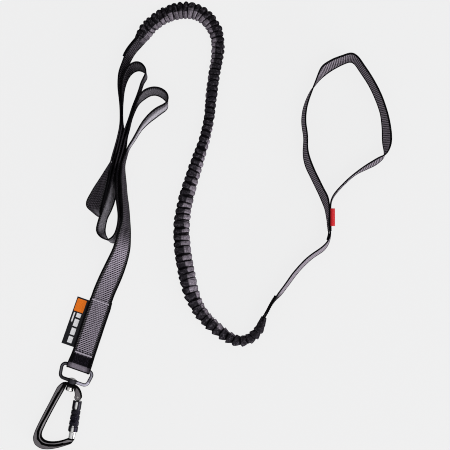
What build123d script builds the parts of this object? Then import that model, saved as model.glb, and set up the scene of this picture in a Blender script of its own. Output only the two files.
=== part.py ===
"""Elastic lanyard: webbing folded into a bundle, a ruched bungee, a hand loop and a swivel carabiner.

Lengths in millimetres, +Z up, everything laid out flat on the plane Z = 0.
X runs across the layout, Y along it, and the origin is under the middle of the layout.
"""

import math
import os

from build123d import *

# ---------------------------------------------------------------- driving sizes
WEB_W = 25.0  # webbing width
WEB_T = 1.8  # webbing thickness
BUNGEE_R = 8.6  # outside radius of the ruched cover
BUNGEE_BORE = 5.4  # inside radius of the ruched cover
CORE_R = 4.6  # elastic core
SPLICE_GAP = 0.15  # between a strap and the tab sewn on it
ZC = 5.5  # height of the carabiner's and the eye's mid-plane

BAR_R = 2.2  # swivel eye wire
BAR_U = -21.0  # eye's top bar, along the swivel axis
STUD_R = 3.0
HEAD_R = 4.8
BODY_T = 11.0  # carabiner body, face to face
GATE_R = 4.0
SLEEVE_R = 5.45
SLEEVE_BORE = 4.06
PIVOT = (13.6, 13.4)  # gate pivot in the carabiner's own (u, v)
PIVOT_R = 1.6
CHEEK_R = 4.3  # round ends of the body's fork, about the pivot
BODY_EDGE = 1.2  # rounding of the body's rims
GATE_TILT = 10.2  # gate axis against the swivel axis, degrees
GATE_LEN = 52.6  # pivot to the gate's free end
SLEEVE_FROM, SLEEVE_TO = 5.0, 43.4  # along the gate axis

# ---------------------------------------------------------------- layout
CENTRE = (-18.374, -1.532)  # middle of the layout, taken off every point below


def at(p):
    return (p[0] - CENTRE[0], p[1] - CENTRE[1])


# Routes are the middle line of a strap standing on its edge, or of the bungee.
BUNDLE_ROUTE = [
    (-109.5, 223.0), (-113.4, 216.7), (-117.2, 210.6), (-121.2, 203.6), (-124.6, 196.2), (-127.1, 188.7),
    (-129.2, 178.7), (-130.0, 167.2), (-129.6, 144.9), (-129.7, 133.1), (-130.6, 122.9), (-135.7, 101.4),
    (-142.3, 79.3), (-145.9, 68.4), (-156.0, 46.4), (-160.6, 35.4), (-163.7, 26.4), (-164.2, 19.3),
    (-157.8, 10.0), (-151.8, 16.1), (-149.0, 25.3), (-143.7, 46.8), (-140.1, 67.8), (-138.0, 78.0),
    (-131.9, 101.6), (-127.6, 122.6), (-126.8, 133.8), (-126.8, 156.7), (-126.4, 166.6), (-125.1, 175.2),
    (-122.7, 183.3), (-118.9, 190.4), (-108.0, 196.7), (-98.8, 191.6), (-98.4, 182.8), (-101.9, 176.6),
    (-107.2, 161.2), (-116.2, 139.7), (-119.9, 129.1), (-126.3, 107.6), (-132.6, 84.8), (-135.5, 72.9),
    (-138.2, 49.5), (-140.1, 38.5), (-146.4, 17.4), (-150.0, 7.9), (-152.5, -0.4), (-153.5, -7.6),
    (-147.4, -17.6), (-136.0, -16.6), (-132.2, -8.2), (-130.2, 2.5), (-130.0, 14.5), (-130.3, 27.2),
    (-131.8, 50.8), (-131.7, 62.5), (-130.4, 74.3), (-127.9, 86.1), (-122.3, 107.7), (-119.4, 117.7),
    (-116.9, 128.1), (-113.4, 138.5), (-109.9, 147.2), (-106.2, 154.2), (-101.4, 160.0), (-89.5, 165.8),
    (-77.0, 162.5), (-70.8, 153.5), (-75.3, 145.3), (-87.1, 137.7), (-93.5, 132.2), (-99.3, 126.3),
    (-104.3, 119.9), (-109.4, 111.5), (-114.0, 102.5), (-118.0, 93.6), (-121.2, 84.5), (-124.1, 75.2),
    (-126.1, 66.1), (-126.2, 56.6), (-124.8, 36.8), (-123.7, 26.5),
]
HANDLE_ROUTE = [
    (50.1, -109.2), (52.4, -102.8), (56.9, -96.4), (61.9, -90.8), (67.0, -84.8), (72.6, -78.4),
    (84.0, -63.4), (91.2, -54.6), (98.9, -46.5), (106.2, -39.9), (121.0, -29.6), (126.9, -23.6),
    (130.7, -16.6), (131.9, -8.4), (131.7, 6.0), (131.8, 19.8), (133.0, 28.0), (136.2, 35.4),
    (140.9, 42.6), (147.0, 49.8), (154.2, 56.7), (162.1, 63.3), (170.3, 68.9), (186.3, 76.9),
    (192.7, 81.0), (199.9, 91.8), (200.5, 99.0), (200.7, 107.6), (200.3, 117.0), (199.0, 127.0),
    (197.0, 137.8), (193.9, 148.0), (190.0, 158.5), (185.3, 168.7), (179.5, 179.1), (166.9, 198.1),
    (161.8, 204.7), (150.2, 206.2), (143.3, 203.5), (136.0, 200.3), (129.2, 196.4), (122.7, 191.7),
    (117.5, 185.3), (109.2, 170.6), (105.1, 162.2), (101.7, 153.4), (99.0, 144.2), (97.7, 134.7),
    (97.8, 125.0), (99.1, 115.5), (100.0, 106.2), (99.7, 96.6), (100.4, 86.8), (103.7, 74.6),
    (108.7, 63.3), (119.3, 41.5), (123.5, 31.6), (126.2, 22.8), (127.6, 14.1), (128.3, 5.8),
    (128.6, -2.4), (128.3, -10.0), (126.7, -16.6),
]
BUNGEE_ROUTE = [
    (-106.6, 227.8), (-101.3, 236.5), (-94.1, 246.4), (-84.7, 255.1), (-72.5, 262.1), (-57.9, 266.3),
    (-43.0, 267.1), (-29.8, 263.0), (-19.6, 254.1), (-12.2, 242.9), (-8.4, 227.3), (-9.2, 208.6),
    (-12.5, 188.8), (-15.6, 167.7), (-18.4, 147.2), (-22.5, 125.4), (-28.6, 103.1), (-35.5, 82.6),
    (-41.5, 62.1), (-47.3, 41.0), (-51.9, 19.3), (-54.1, -2.5), (-53.5, -23.6), (-50.7, -45.3),
    (-46.4, -65.2), (-41.1, -83.8), (-32.8, -102.5), (-21.6, -117.5), (-8.2, -129.9), (5.5, -139.6),
    (18.6, -144.3), (31.0, -140.6), (40.7, -131.6), (45.5, -122.2), (48.2, -114.5),
]
# Selvedge positions where the strap turns over from its edge to its face: (upper edge), (lower edge).
TWIST = [
    ((-123.7, 26.5, 25.0), (-123.7, 26.5, 0.0)),
    ((-126.7, 16.0, 24.9), (-120.7, 15.2, 0.6)),
    ((-127.4, 5.4, 24.5), (-119.0, 4.0, 0.9)),
    ((-132.6, -12.4, 21.6), (-118.6, -16.7, 1.1)),
    ((-139.4, -32.8, 16.8), (-121.4, -39.7, 1.4)),
    ((-144.6, -43.0, 13.6), (-124.6, -50.8, 1.8)),
    ((-150.4, -53.8, 10.0), (-128.4, -62.0, 2.4)),
    ((-156.4, -65.0, 6.4), (-133.2, -73.2, 3.1)),
    ((-161.2, -76.4, 4.4), (-137.6, -84.7, 3.6)),
]

SWIVEL = at((-190.9, -196.7))
D = Vector(-0.3305, -0.9438, 0).normalized()  # u, down the swivel axis
R = Vector(-D.Y, D.X, 0) * 1.0  # v
CAR = Plane(origin=(SWIVEL[0], SWIVEL[1], ZC), x_dir=D, z_dir=(0, 0, 1))
U_AXIS = Axis(CAR.origin, CAR.x_dir)
G = Vector(math.cos(math.radians(GATE_TILT)), math.sin(math.radians(GATE_TILT)), 0)
GATE = Plane(
    origin=CAR.from_local_coords((PIVOT[0], PIVOT[1], 0)),
    x_dir=CAR.x_dir * G.X + CAR.y_dir * G.Y,
    z_dir=(0, 0, 1),
)
GATE_AXIS = Axis(GATE.origin, GATE.x_dir)

os.makedirs("parts", exist_ok=True)


def radii(points):
    """One radius per corner: 0.45 of the shorter run over the tangent of half the turn."""
    out = []
    for a, b, c in zip(points, points[1:], points[2:]):
        ab, bc = Vector(*b) - Vector(*a), Vector(*c) - Vector(*b)
        half = math.radians(max(ab.get_angle(bc), 0.4)) / 2
        out.append(0.45 * min(ab.length, bc.length) / math.tan(half))
    return out


def facing(origin, direction, side=(0, 0, 1)):
    """A plane square to a direction."""
    return Plane(origin=origin, x_dir=side, z_dir=direction)


def run(a, b, t):
    return (a[0] + (b[0] - a[0]) * t, a[1] + (b[1] - a[1]) * t)


BUNDLE = [at(p) for p in BUNDLE_ROUTE]
HANDLE = [at(p) for p in HANDLE_ROUTE]
CORD = [at(p) for p in BUNGEE_ROUTE]
for name, route in (("bundle", BUNDLE), ("handle", HANDLE), ("bungee", CORD)):
    r = radii(route)
    print(name, "points", len(route), "radii", [round(x, 1) for x in r])

# ---------------------------------------------------------------- main webbing
# Stands on its edge through the folded bundle, turns over, and ends in a fold round the eye's bar.
with BuildPart() as main_webbing:
    with BuildSketch():
        with BuildLine():
            FilletPolyline(*BUNDLE, radius=radii(BUNDLE))
        trace(line_width=WEB_T)
    extrude(amount=WEB_W)
    for k, (hi, lo) in enumerate(TWIST):
        hi, lo = Vector(*at(hi), hi[2]), Vector(*at(lo), lo[2])
        before = TWIST[max(k - 1, 0)]
        after = TWIST[min(k + 1, len(TWIST) - 1)]
        mid = [
            Vector(*at(run(p[0], p[1], 0.5)), (p[0][2] + p[1][2]) / 2)
            for p in (before, after)
        ]
        across = (hi - lo).normalized()
        along = mid[1] - mid[0]
        along = (along - across * along.dot(across)).normalized()
        with BuildSketch(Plane(origin=(hi + lo) * 0.5, x_dir=across, z_dir=along)):
            Rectangle(WEB_W, WEB_T)
    flat_from = -112.0
    with BuildSketch(
        Plane(
            origin=CAR.from_local_coords((flat_from, 0, 3.7 - ZC)),
            x_dir=CAR.y_dir * -1,
            z_dir=CAR.x_dir,
        )
    ):
        Rectangle(WEB_W, WEB_T)
    loft(ruled=True)
    # side view of the sewn end: upper layer, round the bar, lower layer back
    side = Plane(
        origin=CAR.from_local_coords((0, 0, -ZC)), x_dir=CAR.x_dir, z_dir=CAR.y_dir * -1
    )
    fold = [
        (flat_from, 3.7),
        (-33.0, 3.7),
        (-26.0, ZC + 3.4),
        (BAR_U + 3.4, ZC + 3.4),
        (BAR_U + 3.4, ZC - 3.4),
        (-26.5, ZC - 3.4),
        (-34.0, 0.9),
        (-109.5, 0.9),
    ]
    with BuildSketch(side):
        with BuildLine():
            FilletPolyline(*fold, radius=[8, 5, 3.38, 3.38, 9, 9])
        trace(line_width=WEB_T)
    extrude(amount=WEB_W / 2, both=True)
main_webbing.part.label = "main_webbing"
export_step(main_webbing.part, "parts/main_webbing.step")
print("main webbing", main_webbing.part.volume, len(main_webbing.solids()))


def along(route, s):
    """Point and direction at a distance along a route."""
    for a, b in zip(route, route[1:]):
        step = math.dist(a, b)
        if s <= step:
            return run(a, b, s / step), ((b[0] - a[0]) / step, (b[1] - a[1]) / step)
        s -= step
    return b, ((b[0] - a[0]) / step, (b[1] - a[1]) / step)


def beside(route, s0, s1, off, n=4):
    """Points beside a route, off to its left, between two distances along it."""
    out = []
    for k in range(n):
        p, t = along(route, s0 + (s1 - s0) * k / (n - 1))
        out.append((p[0] - t[1] * off, p[1] + t[0] * off))
    return out


def stitch_places(route, s0, s1, off, count, rows):
    """Planes of a box stitch on a standing strap: two rows along it and a column at each end."""
    places = []
    for z in rows:
        for k in range(count):
            p, t = along(route, s0 + (s1 - s0) * (k + 0.5) / count)
            centre = (p[0] - t[1] * off, p[1] + t[0] * off, z)
            places.append(Plane(origin=centre, x_dir=(t[0], t[1], 0), z_dir=(0, 0, 1)))
    return places


# ---------------------------------------------------------------- bungee
with BuildPart() as bungee_cover:
    with BuildLine(Plane.XY.offset(BUNGEE_R)) as cover_line:
        FilletPolyline(*CORD, radius=radii(CORD))
    with BuildSketch(cover_line.wire() ^ 0):
        Circle(BUNGEE_R)
        Circle(BUNGEE_BORE, mode=Mode.SUBTRACT)
    sweep(path=cover_line.wire())
    # each end is pressed flat over the strap that is sewn into it
    for inner, end in ((CORD[1], CORD[0]), (CORD[-2], CORD[-1])):
        out = Vector(end[0] - inner[0], end[1] - inner[1], 0).normalized()
        foot = Vector(end[0], end[1], BUNGEE_R)
        mouth = Vector(end[0], end[1], WEB_W / 2) + out * 10
        with BuildSketch(facing(foot, out)):
            Circle(BUNGEE_R)
        with BuildSketch(facing(mouth, out)):
            SlotOverall(WEB_W - 0.2, 5.4)
        loft()
        with BuildSketch(facing(mouth - out * 4.8, out)):
            Rectangle(2 * WEB_W, WEB_T + 0.6)
        extrude(amount=6, mode=Mode.SUBTRACT)
bungee_cover.part.label = "bungee_cover"
export_step(bungee_cover.part, "parts/bungee_cover.step")
print("cover", bungee_cover.part.volume, cover_line.wire().length, len(bungee_cover.solids()))

with BuildPart() as elastic_core:
    with BuildLine(Plane.XY.offset(BUNGEE_R)) as core_line:
        FilletPolyline(*CORD, radius=radii(CORD))
    with BuildSketch(core_line.wire() ^ 0):
        Circle(CORE_R)
    sweep(path=core_line.wire())
elastic_core.part.label = "elastic_core"
export_step(elastic_core.part, "parts/elastic_core.step")

with BuildPart() as upper_splice_tab:
    with BuildSketch():
        with BuildLine():
            tab = beside(BUNDLE, 5.4, 31, -(WEB_T + SPLICE_GAP))
            FilletPolyline(*tab, radius=radii(tab))
        trace(line_width=WEB_T)
    extrude(amount=WEB_W)
upper_splice_tab.part.label = "upper_splice_tab"
export_step(upper_splice_tab.part, "parts/upper_splice_tab.step")

with BuildPart() as upper_splice_stitching:
    with Locations(*stitch_places(BUNDLE, 7, 29, -(WEB_T + SPLICE_GAP) / 2, 7, (4.0, 21.0))):
        Box(1.9, 2 * WEB_T + 0.6, 0.6)
    with Locations(*stitch_places(BUNDLE, 5.5, 9.5, -(WEB_T + SPLICE_GAP) / 2, 1, (8.5, 12.5, 16.5))):
        Box(0.6, 2 * WEB_T + 0.6, 1.9)
    with Locations(*stitch_places(BUNDLE, 26.5, 30.5, -(WEB_T + SPLICE_GAP) / 2, 1, (8.5, 12.5, 16.5))):
        Box(0.6, 2 * WEB_T + 0.6, 1.9)
upper_splice_stitching.part.label = "upper_splice_stitching"
export_step(upper_splice_stitching.part, "parts/upper_splice_stitching.step")

# ---------------------------------------------------------------- hand loop
with BuildPart() as handle_webbing:
    with BuildSketch():
        with BuildLine():
            FilletPolyline(*HANDLE, radius=radii(HANDLE))
        trace(line_width=WEB_T)
    extrude(amount=WEB_W)
handle_webbing.part.label = "handle_webbing"
export_step(handle_webbing.part, "parts/handle_webbing.step")
print("handle", handle_webbing.part.volume, len(handle_webbing.solids()))

with BuildPart() as lower_splice_tab:
    with BuildSketch():
        with BuildLine():
            tab = beside(HANDLE, 5.4, 36, WEB_T + SPLICE_GAP + 0.12, 5)
            FilletPolyline(*tab, radius=radii(tab))
        trace(line_width=WEB_T)
    extrude(amount=WEB_W)
lower_splice_tab.part.label = "lower_splice_tab"
export_step(lower_splice_tab.part, "parts/lower_splice_tab.step")

with BuildPart() as lower_splice_stitching:
    with Locations(*stitch_places(HANDLE, 7.5, 34, (WEB_T + SPLICE_GAP) / 2, 8, (4.0, 21.0))):
        Box(1.9, 2 * WEB_T + 0.6, 0.6)
    with Locations(*stitch_places(HANDLE, 5.5, 9.5, (WEB_T + SPLICE_GAP) / 2, 1, (8.5, 12.5, 16.5))):
        Box(0.6, 2 * WEB_T + 0.6, 1.9)
    with Locations(*stitch_places(HANDLE, 31, 35, (WEB_T + SPLICE_GAP) / 2, 1, (8.5, 12.5, 16.5))):
        Box(0.6, 2 * WEB_T + 0.6, 1.9)
lower_splice_stitching.part.label = "lower_splice_stitching"
export_step(lower_splice_stitching.part, "parts/lower_splice_stitching.step")

# box stitch that closes the loop, through both layers
JOIN_X, JOIN_LOW, JOIN_HIGH = at((130.15, -7.0)) + (at((0, 9.0))[1],)
with BuildPart() as loop_stitching:
    for z in (4.0, 21.0):
        with Locations(*[(JOIN_X, JOIN_LOW + 1.3 + k * (JOIN_HIGH - JOIN_LOW - 2.6) / 5, z) for k in range(6)]):
            Box(5.6, 1.9, 0.6)
    for y in (JOIN_LOW, JOIN_HIGH):
        with Locations(*[(JOIN_X, y, z) for z in (7.0, 10.2)]):
            Box(5.6, 0.6, 1.9)
loop_stitching.part.label = "loop_stitching"
export_step(loop_stitching.part, "parts/loop_stitching.step")

# folded tab held between the two layers, hanging over the outer one
TAB_X, TAB_Y = at((130.15, -2.0))
with BuildPart() as red_tab:
    with BuildSketch(Plane(origin=(TAB_X, TAB_Y, 0), x_dir=(1, 0, 0), z_dir=(0, -1, 0))):
        with BuildLine():
            FilletPolyline((0, 14.0), (0, 26.0), (3.2, 26.0), (5.8, 21.6), radius=[0.7, 1.2])
        trace(line_width=0.6)
    extrude(amount=-22)
red_tab.part.label = "red_tab"
export_step(red_tab.part, "parts/red_tab.step")

# ---------------------------------------------------------------- sewn end and label
with BuildPart() as sewn_end_stitching:
    for u in (-107.0, -38.6):
        rows = [CAR.from_local_coords((u, -11 + 22 * k / 8, 2.4 - ZC)) for k in range(9)]
        with Locations(*[Plane(origin=p, x_dir=CAR.x_dir, z_dir=(0, 0, 1)) for p in rows]):
            Box(0.6, 1.9, 4.7)
sewn_end_stitching.part.label = "sewn_end_stitching"
export_step(sewn_end_stitching.part, "parts/sewn_end_stitching.step")

with BuildPart() as label_tab:
    with BuildSketch(CAR.offset(1.85 - ZC)):
        with Locations((-73.3, -17.5)):
            Rectangle(61.4, 23.0)
    extrude(amount=0.9)
label_tab.part.label = "label_tab"
export_step(label_tab.part, "parts/label_tab.step")

# ---------------------------------------------------------------- swivel
with BuildPart() as swivel_eye:
    with BuildLine(CAR) as eye_line:
        FilletPolyline((BAR_U, 0), (BAR_U, 19.6), (-1.9, 14.8), (-1.9, 0), radius=[4.6, 7.0])
    with BuildSketch(facing(CAR.from_local_coords((BAR_U, 0, 0)), CAR.y_dir)):
        Circle(BAR_R)
    sweep(path=eye_line.wire())
    mirror(about=Plane(origin=CAR.origin, x_dir=CAR.x_dir, z_dir=CAR.y_dir))
    with BuildSketch(facing(CAR.from_local_coords((-5.2, 0, 0)), CAR.x_dir)):
        Circle(5.4)
    extrude(amount=6.1)
    with BuildSketch(facing(CAR.from_local_coords((-6.2, 0, 0)), CAR.x_dir)):
        Circle(STUD_R + 0.02)
    extrude(amount=8, mode=Mode.SUBTRACT)
swivel_eye.part.label = "swivel_eye"
export_step(swivel_eye.part, "parts/swivel_eye.step")
print("eye", swivel_eye.part.volume, len(swivel_eye.solids()))

with BuildPart() as swivel_stud:
    with BuildSketch(CAR):
        with BuildLine():
            Polyline((-6.4, 0), (-6.4, 2.2), (-5.9, 3.4), (-5.25, 3.9), (-5.25, STUD_R), (5.1, STUD_R), (5.1, HEAD_R - 0.4), (5.5, HEAD_R), (9.6, HEAD_R), (10.4, HEAD_R - 0.9), (10.4, 0), close=True)
        make_face()
    revolve(axis=U_AXIS)
swivel_stud.part.label = "swivel_stud"
export_step(swivel_stud.part, "parts/swivel_stud.step")

with BuildPart() as swivel_washer:
    with BuildSketch(facing(CAR.from_local_coords((4.3, 0, 0)), CAR.x_dir)):
        Circle(HEAD_R)
        Circle(STUD_R + 0.05, mode=Mode.SUBTRACT)
    extrude(amount=0.7)
swivel_washer.part.label = "swivel_washer"
export_step(swivel_washer.part, "parts/swivel_washer.step")

# ---------------------------------------------------------------- carabiner body
cheek = Vector(PIVOT[0], PIVOT[1], 0)
nose = cheek + G * 53.0
across_gate = Vector(-G.Y, G.X, 0)
nose_in, nose_out = nose - across_gate * 4.0, nose + across_gate * 3.7
OUTER = [
    (nose_out.X, nose_out.Y), (70.6, 24.9), (76.6, 17.2), (82.6, 8.4), (87.4, -1.4), (89.0, -9.6), (86.6, -18.2), (79.6, -22.9),
    (69.6, -23.2), (51.0, -21.0), (32.0, -18.0), (18.0, -16.2), (8.6, -14.9), (3.0, -11.0), (1.2, -6.4), (1.2, 6.0),
    (3.2, 10.9), (8.2, 15.6), (12.6, 17.58),
]
INNER = [
    (12.6, 9.22), (9.4, 7.9), (6.8, 5.9), (4.2, 5.2), (4.2, -5.2), (8.4, -5.6), (16.0, -7.0), (29.0, -9.4), (43.0, -11.7), (57.0, -13.7),
    (69.6, -15.0), (75.6, -14.0), (78.7, -9.2), (78.6, -2.6), (75.8, 5.4), (71.6, 12.6), (nose_in.X, nose_in.Y),
]
INNER_R = radii(INNER)
INNER_R[2], INNER_R[3] = 0.8, 0.8
with BuildPart() as carabiner_body:
    with BuildSketch(CAR):
        with BuildLine():
            FilletPolyline(*OUTER, radius=radii(OUTER))
            Polyline(OUTER[-1], INNER[0])
            FilletPolyline(*INNER, radius=INNER_R)
            Polyline(INNER[-1], OUTER[0])
        make_face()
        with Locations(PIVOT):
            Circle(CHEEK_R)
    extrude(amount=BODY_T / 2, both=True)
    rims = carabiner_body.faces().sort_by(Axis.Z)
    fillet(rims[-1].outer_wire().edges() + rims[0].outer_wire().edges(), radius=BODY_EDGE)
    # groove along both faces, nearer the inner edge
    groove = [(15.0, -11.0), (25.0, -12.9), (42.0, -15.6), (57.6, -17.6), (70.0, -18.3), (77.6, -15.8), (81.6, -9.0), (81.0, -1.2), (78.0, 7.6), (73.2, 15.6)]
    for level in (BODY_T / 2 - 2.4, -BODY_T / 2 - 1):
        with BuildSketch(CAR.offset(level)):
            with BuildLine():
                Spline(*groove)
            trace(line_width=2.3)
        extrude(amount=3.4, mode=Mode.SUBTRACT)
    # bore for the stud, fork and hole for the gate's pivot
    with BuildSketch(facing(CAR.from_local_coords((0, 0, 0)), CAR.x_dir)):
        Circle(STUD_R + 0.05)
    extrude(amount=5.0, mode=Mode.SUBTRACT)
    with BuildSketch(CAR.offset(-2.2)):
        with Locations(PIVOT):
            Circle(4.6)
    extrude(amount=4.4, mode=Mode.SUBTRACT)
    with BuildSketch(CAR.offset(-BODY_T / 2 - 1)):
        with Locations(PIVOT):
            Circle(PIVOT_R + 0.02)
    extrude(amount=BODY_T + 2, mode=Mode.SUBTRACT)
    # key on the nose, held by the gate's slot
    with BuildSketch(GATE.offset(-1.5)):
        with Locations((51.6, 0)):
            Rectangle(3.6, 4.2)
    extrude(amount=3.0)
carabiner_body.part.label = "carabiner_body"
export_step(carabiner_body.part, "parts/carabiner_body.step")
print("body", carabiner_body.part.volume, len(carabiner_body.solids()))

with BuildPart() as gate_pivot_rivet:
    with BuildSketch(CAR.offset(-BODY_T / 2)):
        with Locations(PIVOT):
            Circle(PIVOT_R)
    extrude(amount=BODY_T)
    chamfer(gate_pivot_rivet.edges(), length=0.3)
gate_pivot_rivet.part.label = "gate_pivot_rivet"
export_step(gate_pivot_rivet.part, "parts/gate_pivot_rivet.step")

# ---------------------------------------------------------------- gate
with BuildPart() as gate_barrel:
    with BuildSketch(GATE):
        with BuildLine():
            Polyline((4.8, 0), (4.8, 3.6), (5.2, GATE_R), (15.5, GATE_R), (16.0, 3.3), (38.0, 3.3), (38.5, GATE_R), (52.1, GATE_R), (GATE_LEN, 3.5), (GATE_LEN, 0), close=True)
        make_face()
    revolve(axis=GATE_AXIS)
    # tongue in the body's fork
    with BuildSketch(GATE.offset(-2.0)):
        with Locations((3.0, 0)):
            Rectangle(6.0, 6.8)
        Circle(3.6)
    extrude(amount=4.0)
    with BuildSketch(GATE.offset(-4)):
        Circle(PIVOT_R + 0.06)
    extrude(amount=8, mode=Mode.SUBTRACT)
    # bore for the plunger and its spring
    with BuildSketch(facing(GATE.from_local_coords((8.6, 0, 0)), GATE.x_dir)):
        Circle(2.3)
    extrude(amount=18, mode=Mode.SUBTRACT)
    with BuildSketch(facing(GATE.from_local_coords((1.0, 0, 0)), GATE.x_dir)):
        Circle(1.05)
    extrude(amount=8, mode=Mode.SUBTRACT)
    # slot for the nose key, open to the end and the outside
    with BuildSketch(GATE.offset(-1.8)):
        with Locations((51.6, 1.6)):
            Rectangle(4.4, 8.6)
    extrude(amount=3.6, mode=Mode.SUBTRACT)
gate_barrel.part.label = "gate_barrel"
export_step(gate_barrel.part, "parts/gate_barrel.step")
print("gate", gate_barrel.part.volume, len(gate_barrel.solids()))

with BuildPart() as gate_plunger:
    with BuildSketch(facing(GATE.from_local_coords((PIVOT_R + 0.2, 0, 0)), GATE.x_dir)):
        Circle(0.95)
    extrude(amount=9)
    with BuildSketch(facing(GATE.from_local_coords((8.8, 0, 0)), GATE.x_dir)):
        Circle(2.1)
    extrude(amount=1.6)
gate_plunger.part.label = "gate_plunger"
export_step(gate_plunger.part, "parts/gate_plunger.step")


def coil(name, start, radius, wire, pitch, height):
    """A round-wire spring about the gate's axis."""
    with BuildPart() as spring:
        with BuildLine() as turns:
            Helix(pitch=pitch, height=height, radius=radius, center=GATE.from_local_coords((start, 0, 0)), direction=GATE.x_dir)
        with BuildSketch(turns.wire() ^ 0):
            Circle(wire)
        sweep(path=turns.wire(), is_frenet=True)
    spring.part.label = name
    export_step(spring.part, f"parts/{name}.step")
    return spring


gate_spring = coil("gate_spring", 10.9, 1.7, 0.3, 1.9, 15.0)
sleeve_spring = coil("sleeve_spring", 16.8, 3.68, 0.3, 2.6, 20.0)

# ---------------------------------------------------------------- lock sleeve
with BuildPart() as lock_sleeve:
    rings = [16.2, 22.4, 29.6, 36.2]
    profile = [(SLEEVE_FROM, SLEEVE_BORE), (SLEEVE_FROM, SLEEVE_R - 0.5), (SLEEVE_FROM + 0.5, SLEEVE_R)]
    for s in rings:
        profile += [(s - 0.6, SLEEVE_R), (s - 0.4, SLEEVE_R - 0.6), (s + 0.4, SLEEVE_R - 0.6), (s + 0.6, SLEEVE_R)]
    profile += [(SLEEVE_TO - 0.5, SLEEVE_R), (SLEEVE_TO, SLEEVE_R - 0.5), (SLEEVE_TO, SLEEVE_BORE)]
    with BuildSketch(GATE):
        with BuildLine():
            Polyline(*profile, close=True)
        make_face()
    revolve(axis=GATE_AXIS)
    # sight window near the hinge, and the cut-out at the free end
    with BuildSketch(GATE):
        with Locations((10.6, 0)):
            SlotOverall(9.0, 2.6)
    extrude(amount=8, mode=Mode.SUBTRACT)
    with BuildSketch(GATE):
        with Locations((42.4, 0)):
            SlotOverall(11.0, 3.6)
    extrude(amount=8, mode=Mode.SUBTRACT)
lock_sleeve.part.label = "lock_sleeve"
export_step(lock_sleeve.part, "parts/lock_sleeve.step")
print("sleeve", lock_sleeve.part.volume, len(lock_sleeve.solids()))

with BuildPart() as sleeve_retaining_ring:
    with BuildSketch(facing(GATE.from_local_coords((SLEEVE_TO + 0.15, 0, 0)), GATE.x_dir)):
        Circle(4.9)
        Circle(GATE_R + 0.02, mode=Mode.SUBTRACT)
    extrude(amount=0.8)
sleeve_retaining_ring.part.label = "sleeve_retaining_ring"
export_step(sleeve_retaining_ring.part, "parts/sleeve_retaining_ring.step")
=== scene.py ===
"""Looks of the elastic lanyard: webbing, ruched bungee, hand loop, swivel eye and carabiner."""
import math

import bmesh
import bpy
import numpy as np
from mathutils import Matrix, Vector


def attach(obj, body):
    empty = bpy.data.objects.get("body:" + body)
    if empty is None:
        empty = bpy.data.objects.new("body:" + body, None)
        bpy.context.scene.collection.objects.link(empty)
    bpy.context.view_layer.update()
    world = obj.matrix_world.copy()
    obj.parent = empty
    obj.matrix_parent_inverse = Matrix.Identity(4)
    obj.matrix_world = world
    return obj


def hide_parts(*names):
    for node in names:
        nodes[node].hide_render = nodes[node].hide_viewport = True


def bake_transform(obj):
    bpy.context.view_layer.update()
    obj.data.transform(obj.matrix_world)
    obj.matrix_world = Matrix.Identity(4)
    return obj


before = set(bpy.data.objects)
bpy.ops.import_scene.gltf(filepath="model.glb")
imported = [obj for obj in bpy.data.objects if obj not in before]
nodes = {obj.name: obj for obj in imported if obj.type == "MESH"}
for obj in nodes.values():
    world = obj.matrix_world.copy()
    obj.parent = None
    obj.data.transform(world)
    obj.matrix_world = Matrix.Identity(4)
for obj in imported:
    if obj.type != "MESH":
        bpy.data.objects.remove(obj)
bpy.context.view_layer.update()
scene = bpy.context.scene
MM = 0.001
Z = np.array([0.0, 0.0, 1.0])
rng = np.random.default_rng(11)

# ------------------------------------------------------------------ camera
VIEW_H = 1.4
VIEW_XY = np.array([18.374, 1.532])
camera_data = bpy.data.cameras.new("camera")
camera_data.sensor_width = 36.0
camera_data.lens = 18.0 / (0.28125 / VIEW_H)
camera = bpy.data.objects.new("camera", camera_data)
camera.location = (0.018374, 0.001532, VIEW_H)
scene.collection.objects.link(camera)
scene.camera = camera
scene.cycles.filter_width = 1.0  # as crisp as the picture


# ------------------------------------------------------------------ numbers
def unit(a):
    return a / np.maximum(np.linalg.norm(a, axis=-1, keepdims=True), 1e-12)


def lengths(p):
    return np.concatenate([[0.0], np.cumsum(np.linalg.norm(np.diff(p, axis=0), axis=1))])


def spline(knots, values, at):
    """Natural cubic spline through rows of values."""
    n, h = len(knots), np.diff(knots)
    a, b = np.zeros((n, n)), np.zeros((n, values.shape[1]))
    a[0, 0] = a[-1, -1] = 1
    for i in range(1, n - 1):
        a[i, i - 1], a[i, i], a[i, i + 1] = h[i - 1], 2 * (h[i - 1] + h[i]), h[i]
        b[i] = 6 * ((values[i + 1] - values[i]) / h[i] - (values[i] - values[i - 1]) / h[i - 1])
    m = np.linalg.solve(a, b)
    k = np.clip(np.searchsorted(knots, at, side="right") - 1, 0, n - 2)
    x, hk = (at - knots[k])[:, None], h[k][:, None]
    y = hk - x
    return (
        m[k] * y**3 / (6 * hk)
        + m[k + 1] * x**3 / (6 * hk)
        + (values[k] / hk - m[k] * hk / 6) * y
        + (values[k + 1] / hk - m[k + 1] * hk / 6) * x
    )


def soften(p, sigma):
    """Gaussian smoothing along rows; the ends stay put."""
    r = int(max(1, round(3 * sigma)))
    w = np.exp(-0.5 * (np.arange(-r, r + 1) / sigma) ** 2)
    w /= w.sum()
    head = 2 * p[0] - p[r:0:-1]
    tail = 2 * p[-1] - p[-2 : -r - 2 : -1]
    q = np.concatenate([head, p, tail])
    return np.stack([np.convolve(q[:, i], w, mode="valid") for i in range(p.shape[1])], 1)


def smoothstep(a, b, x):
    t = np.clip((np.asarray(x, float) - a) / (b - a), 0, 1)
    return t * t * (3 - 2 * t)


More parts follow.
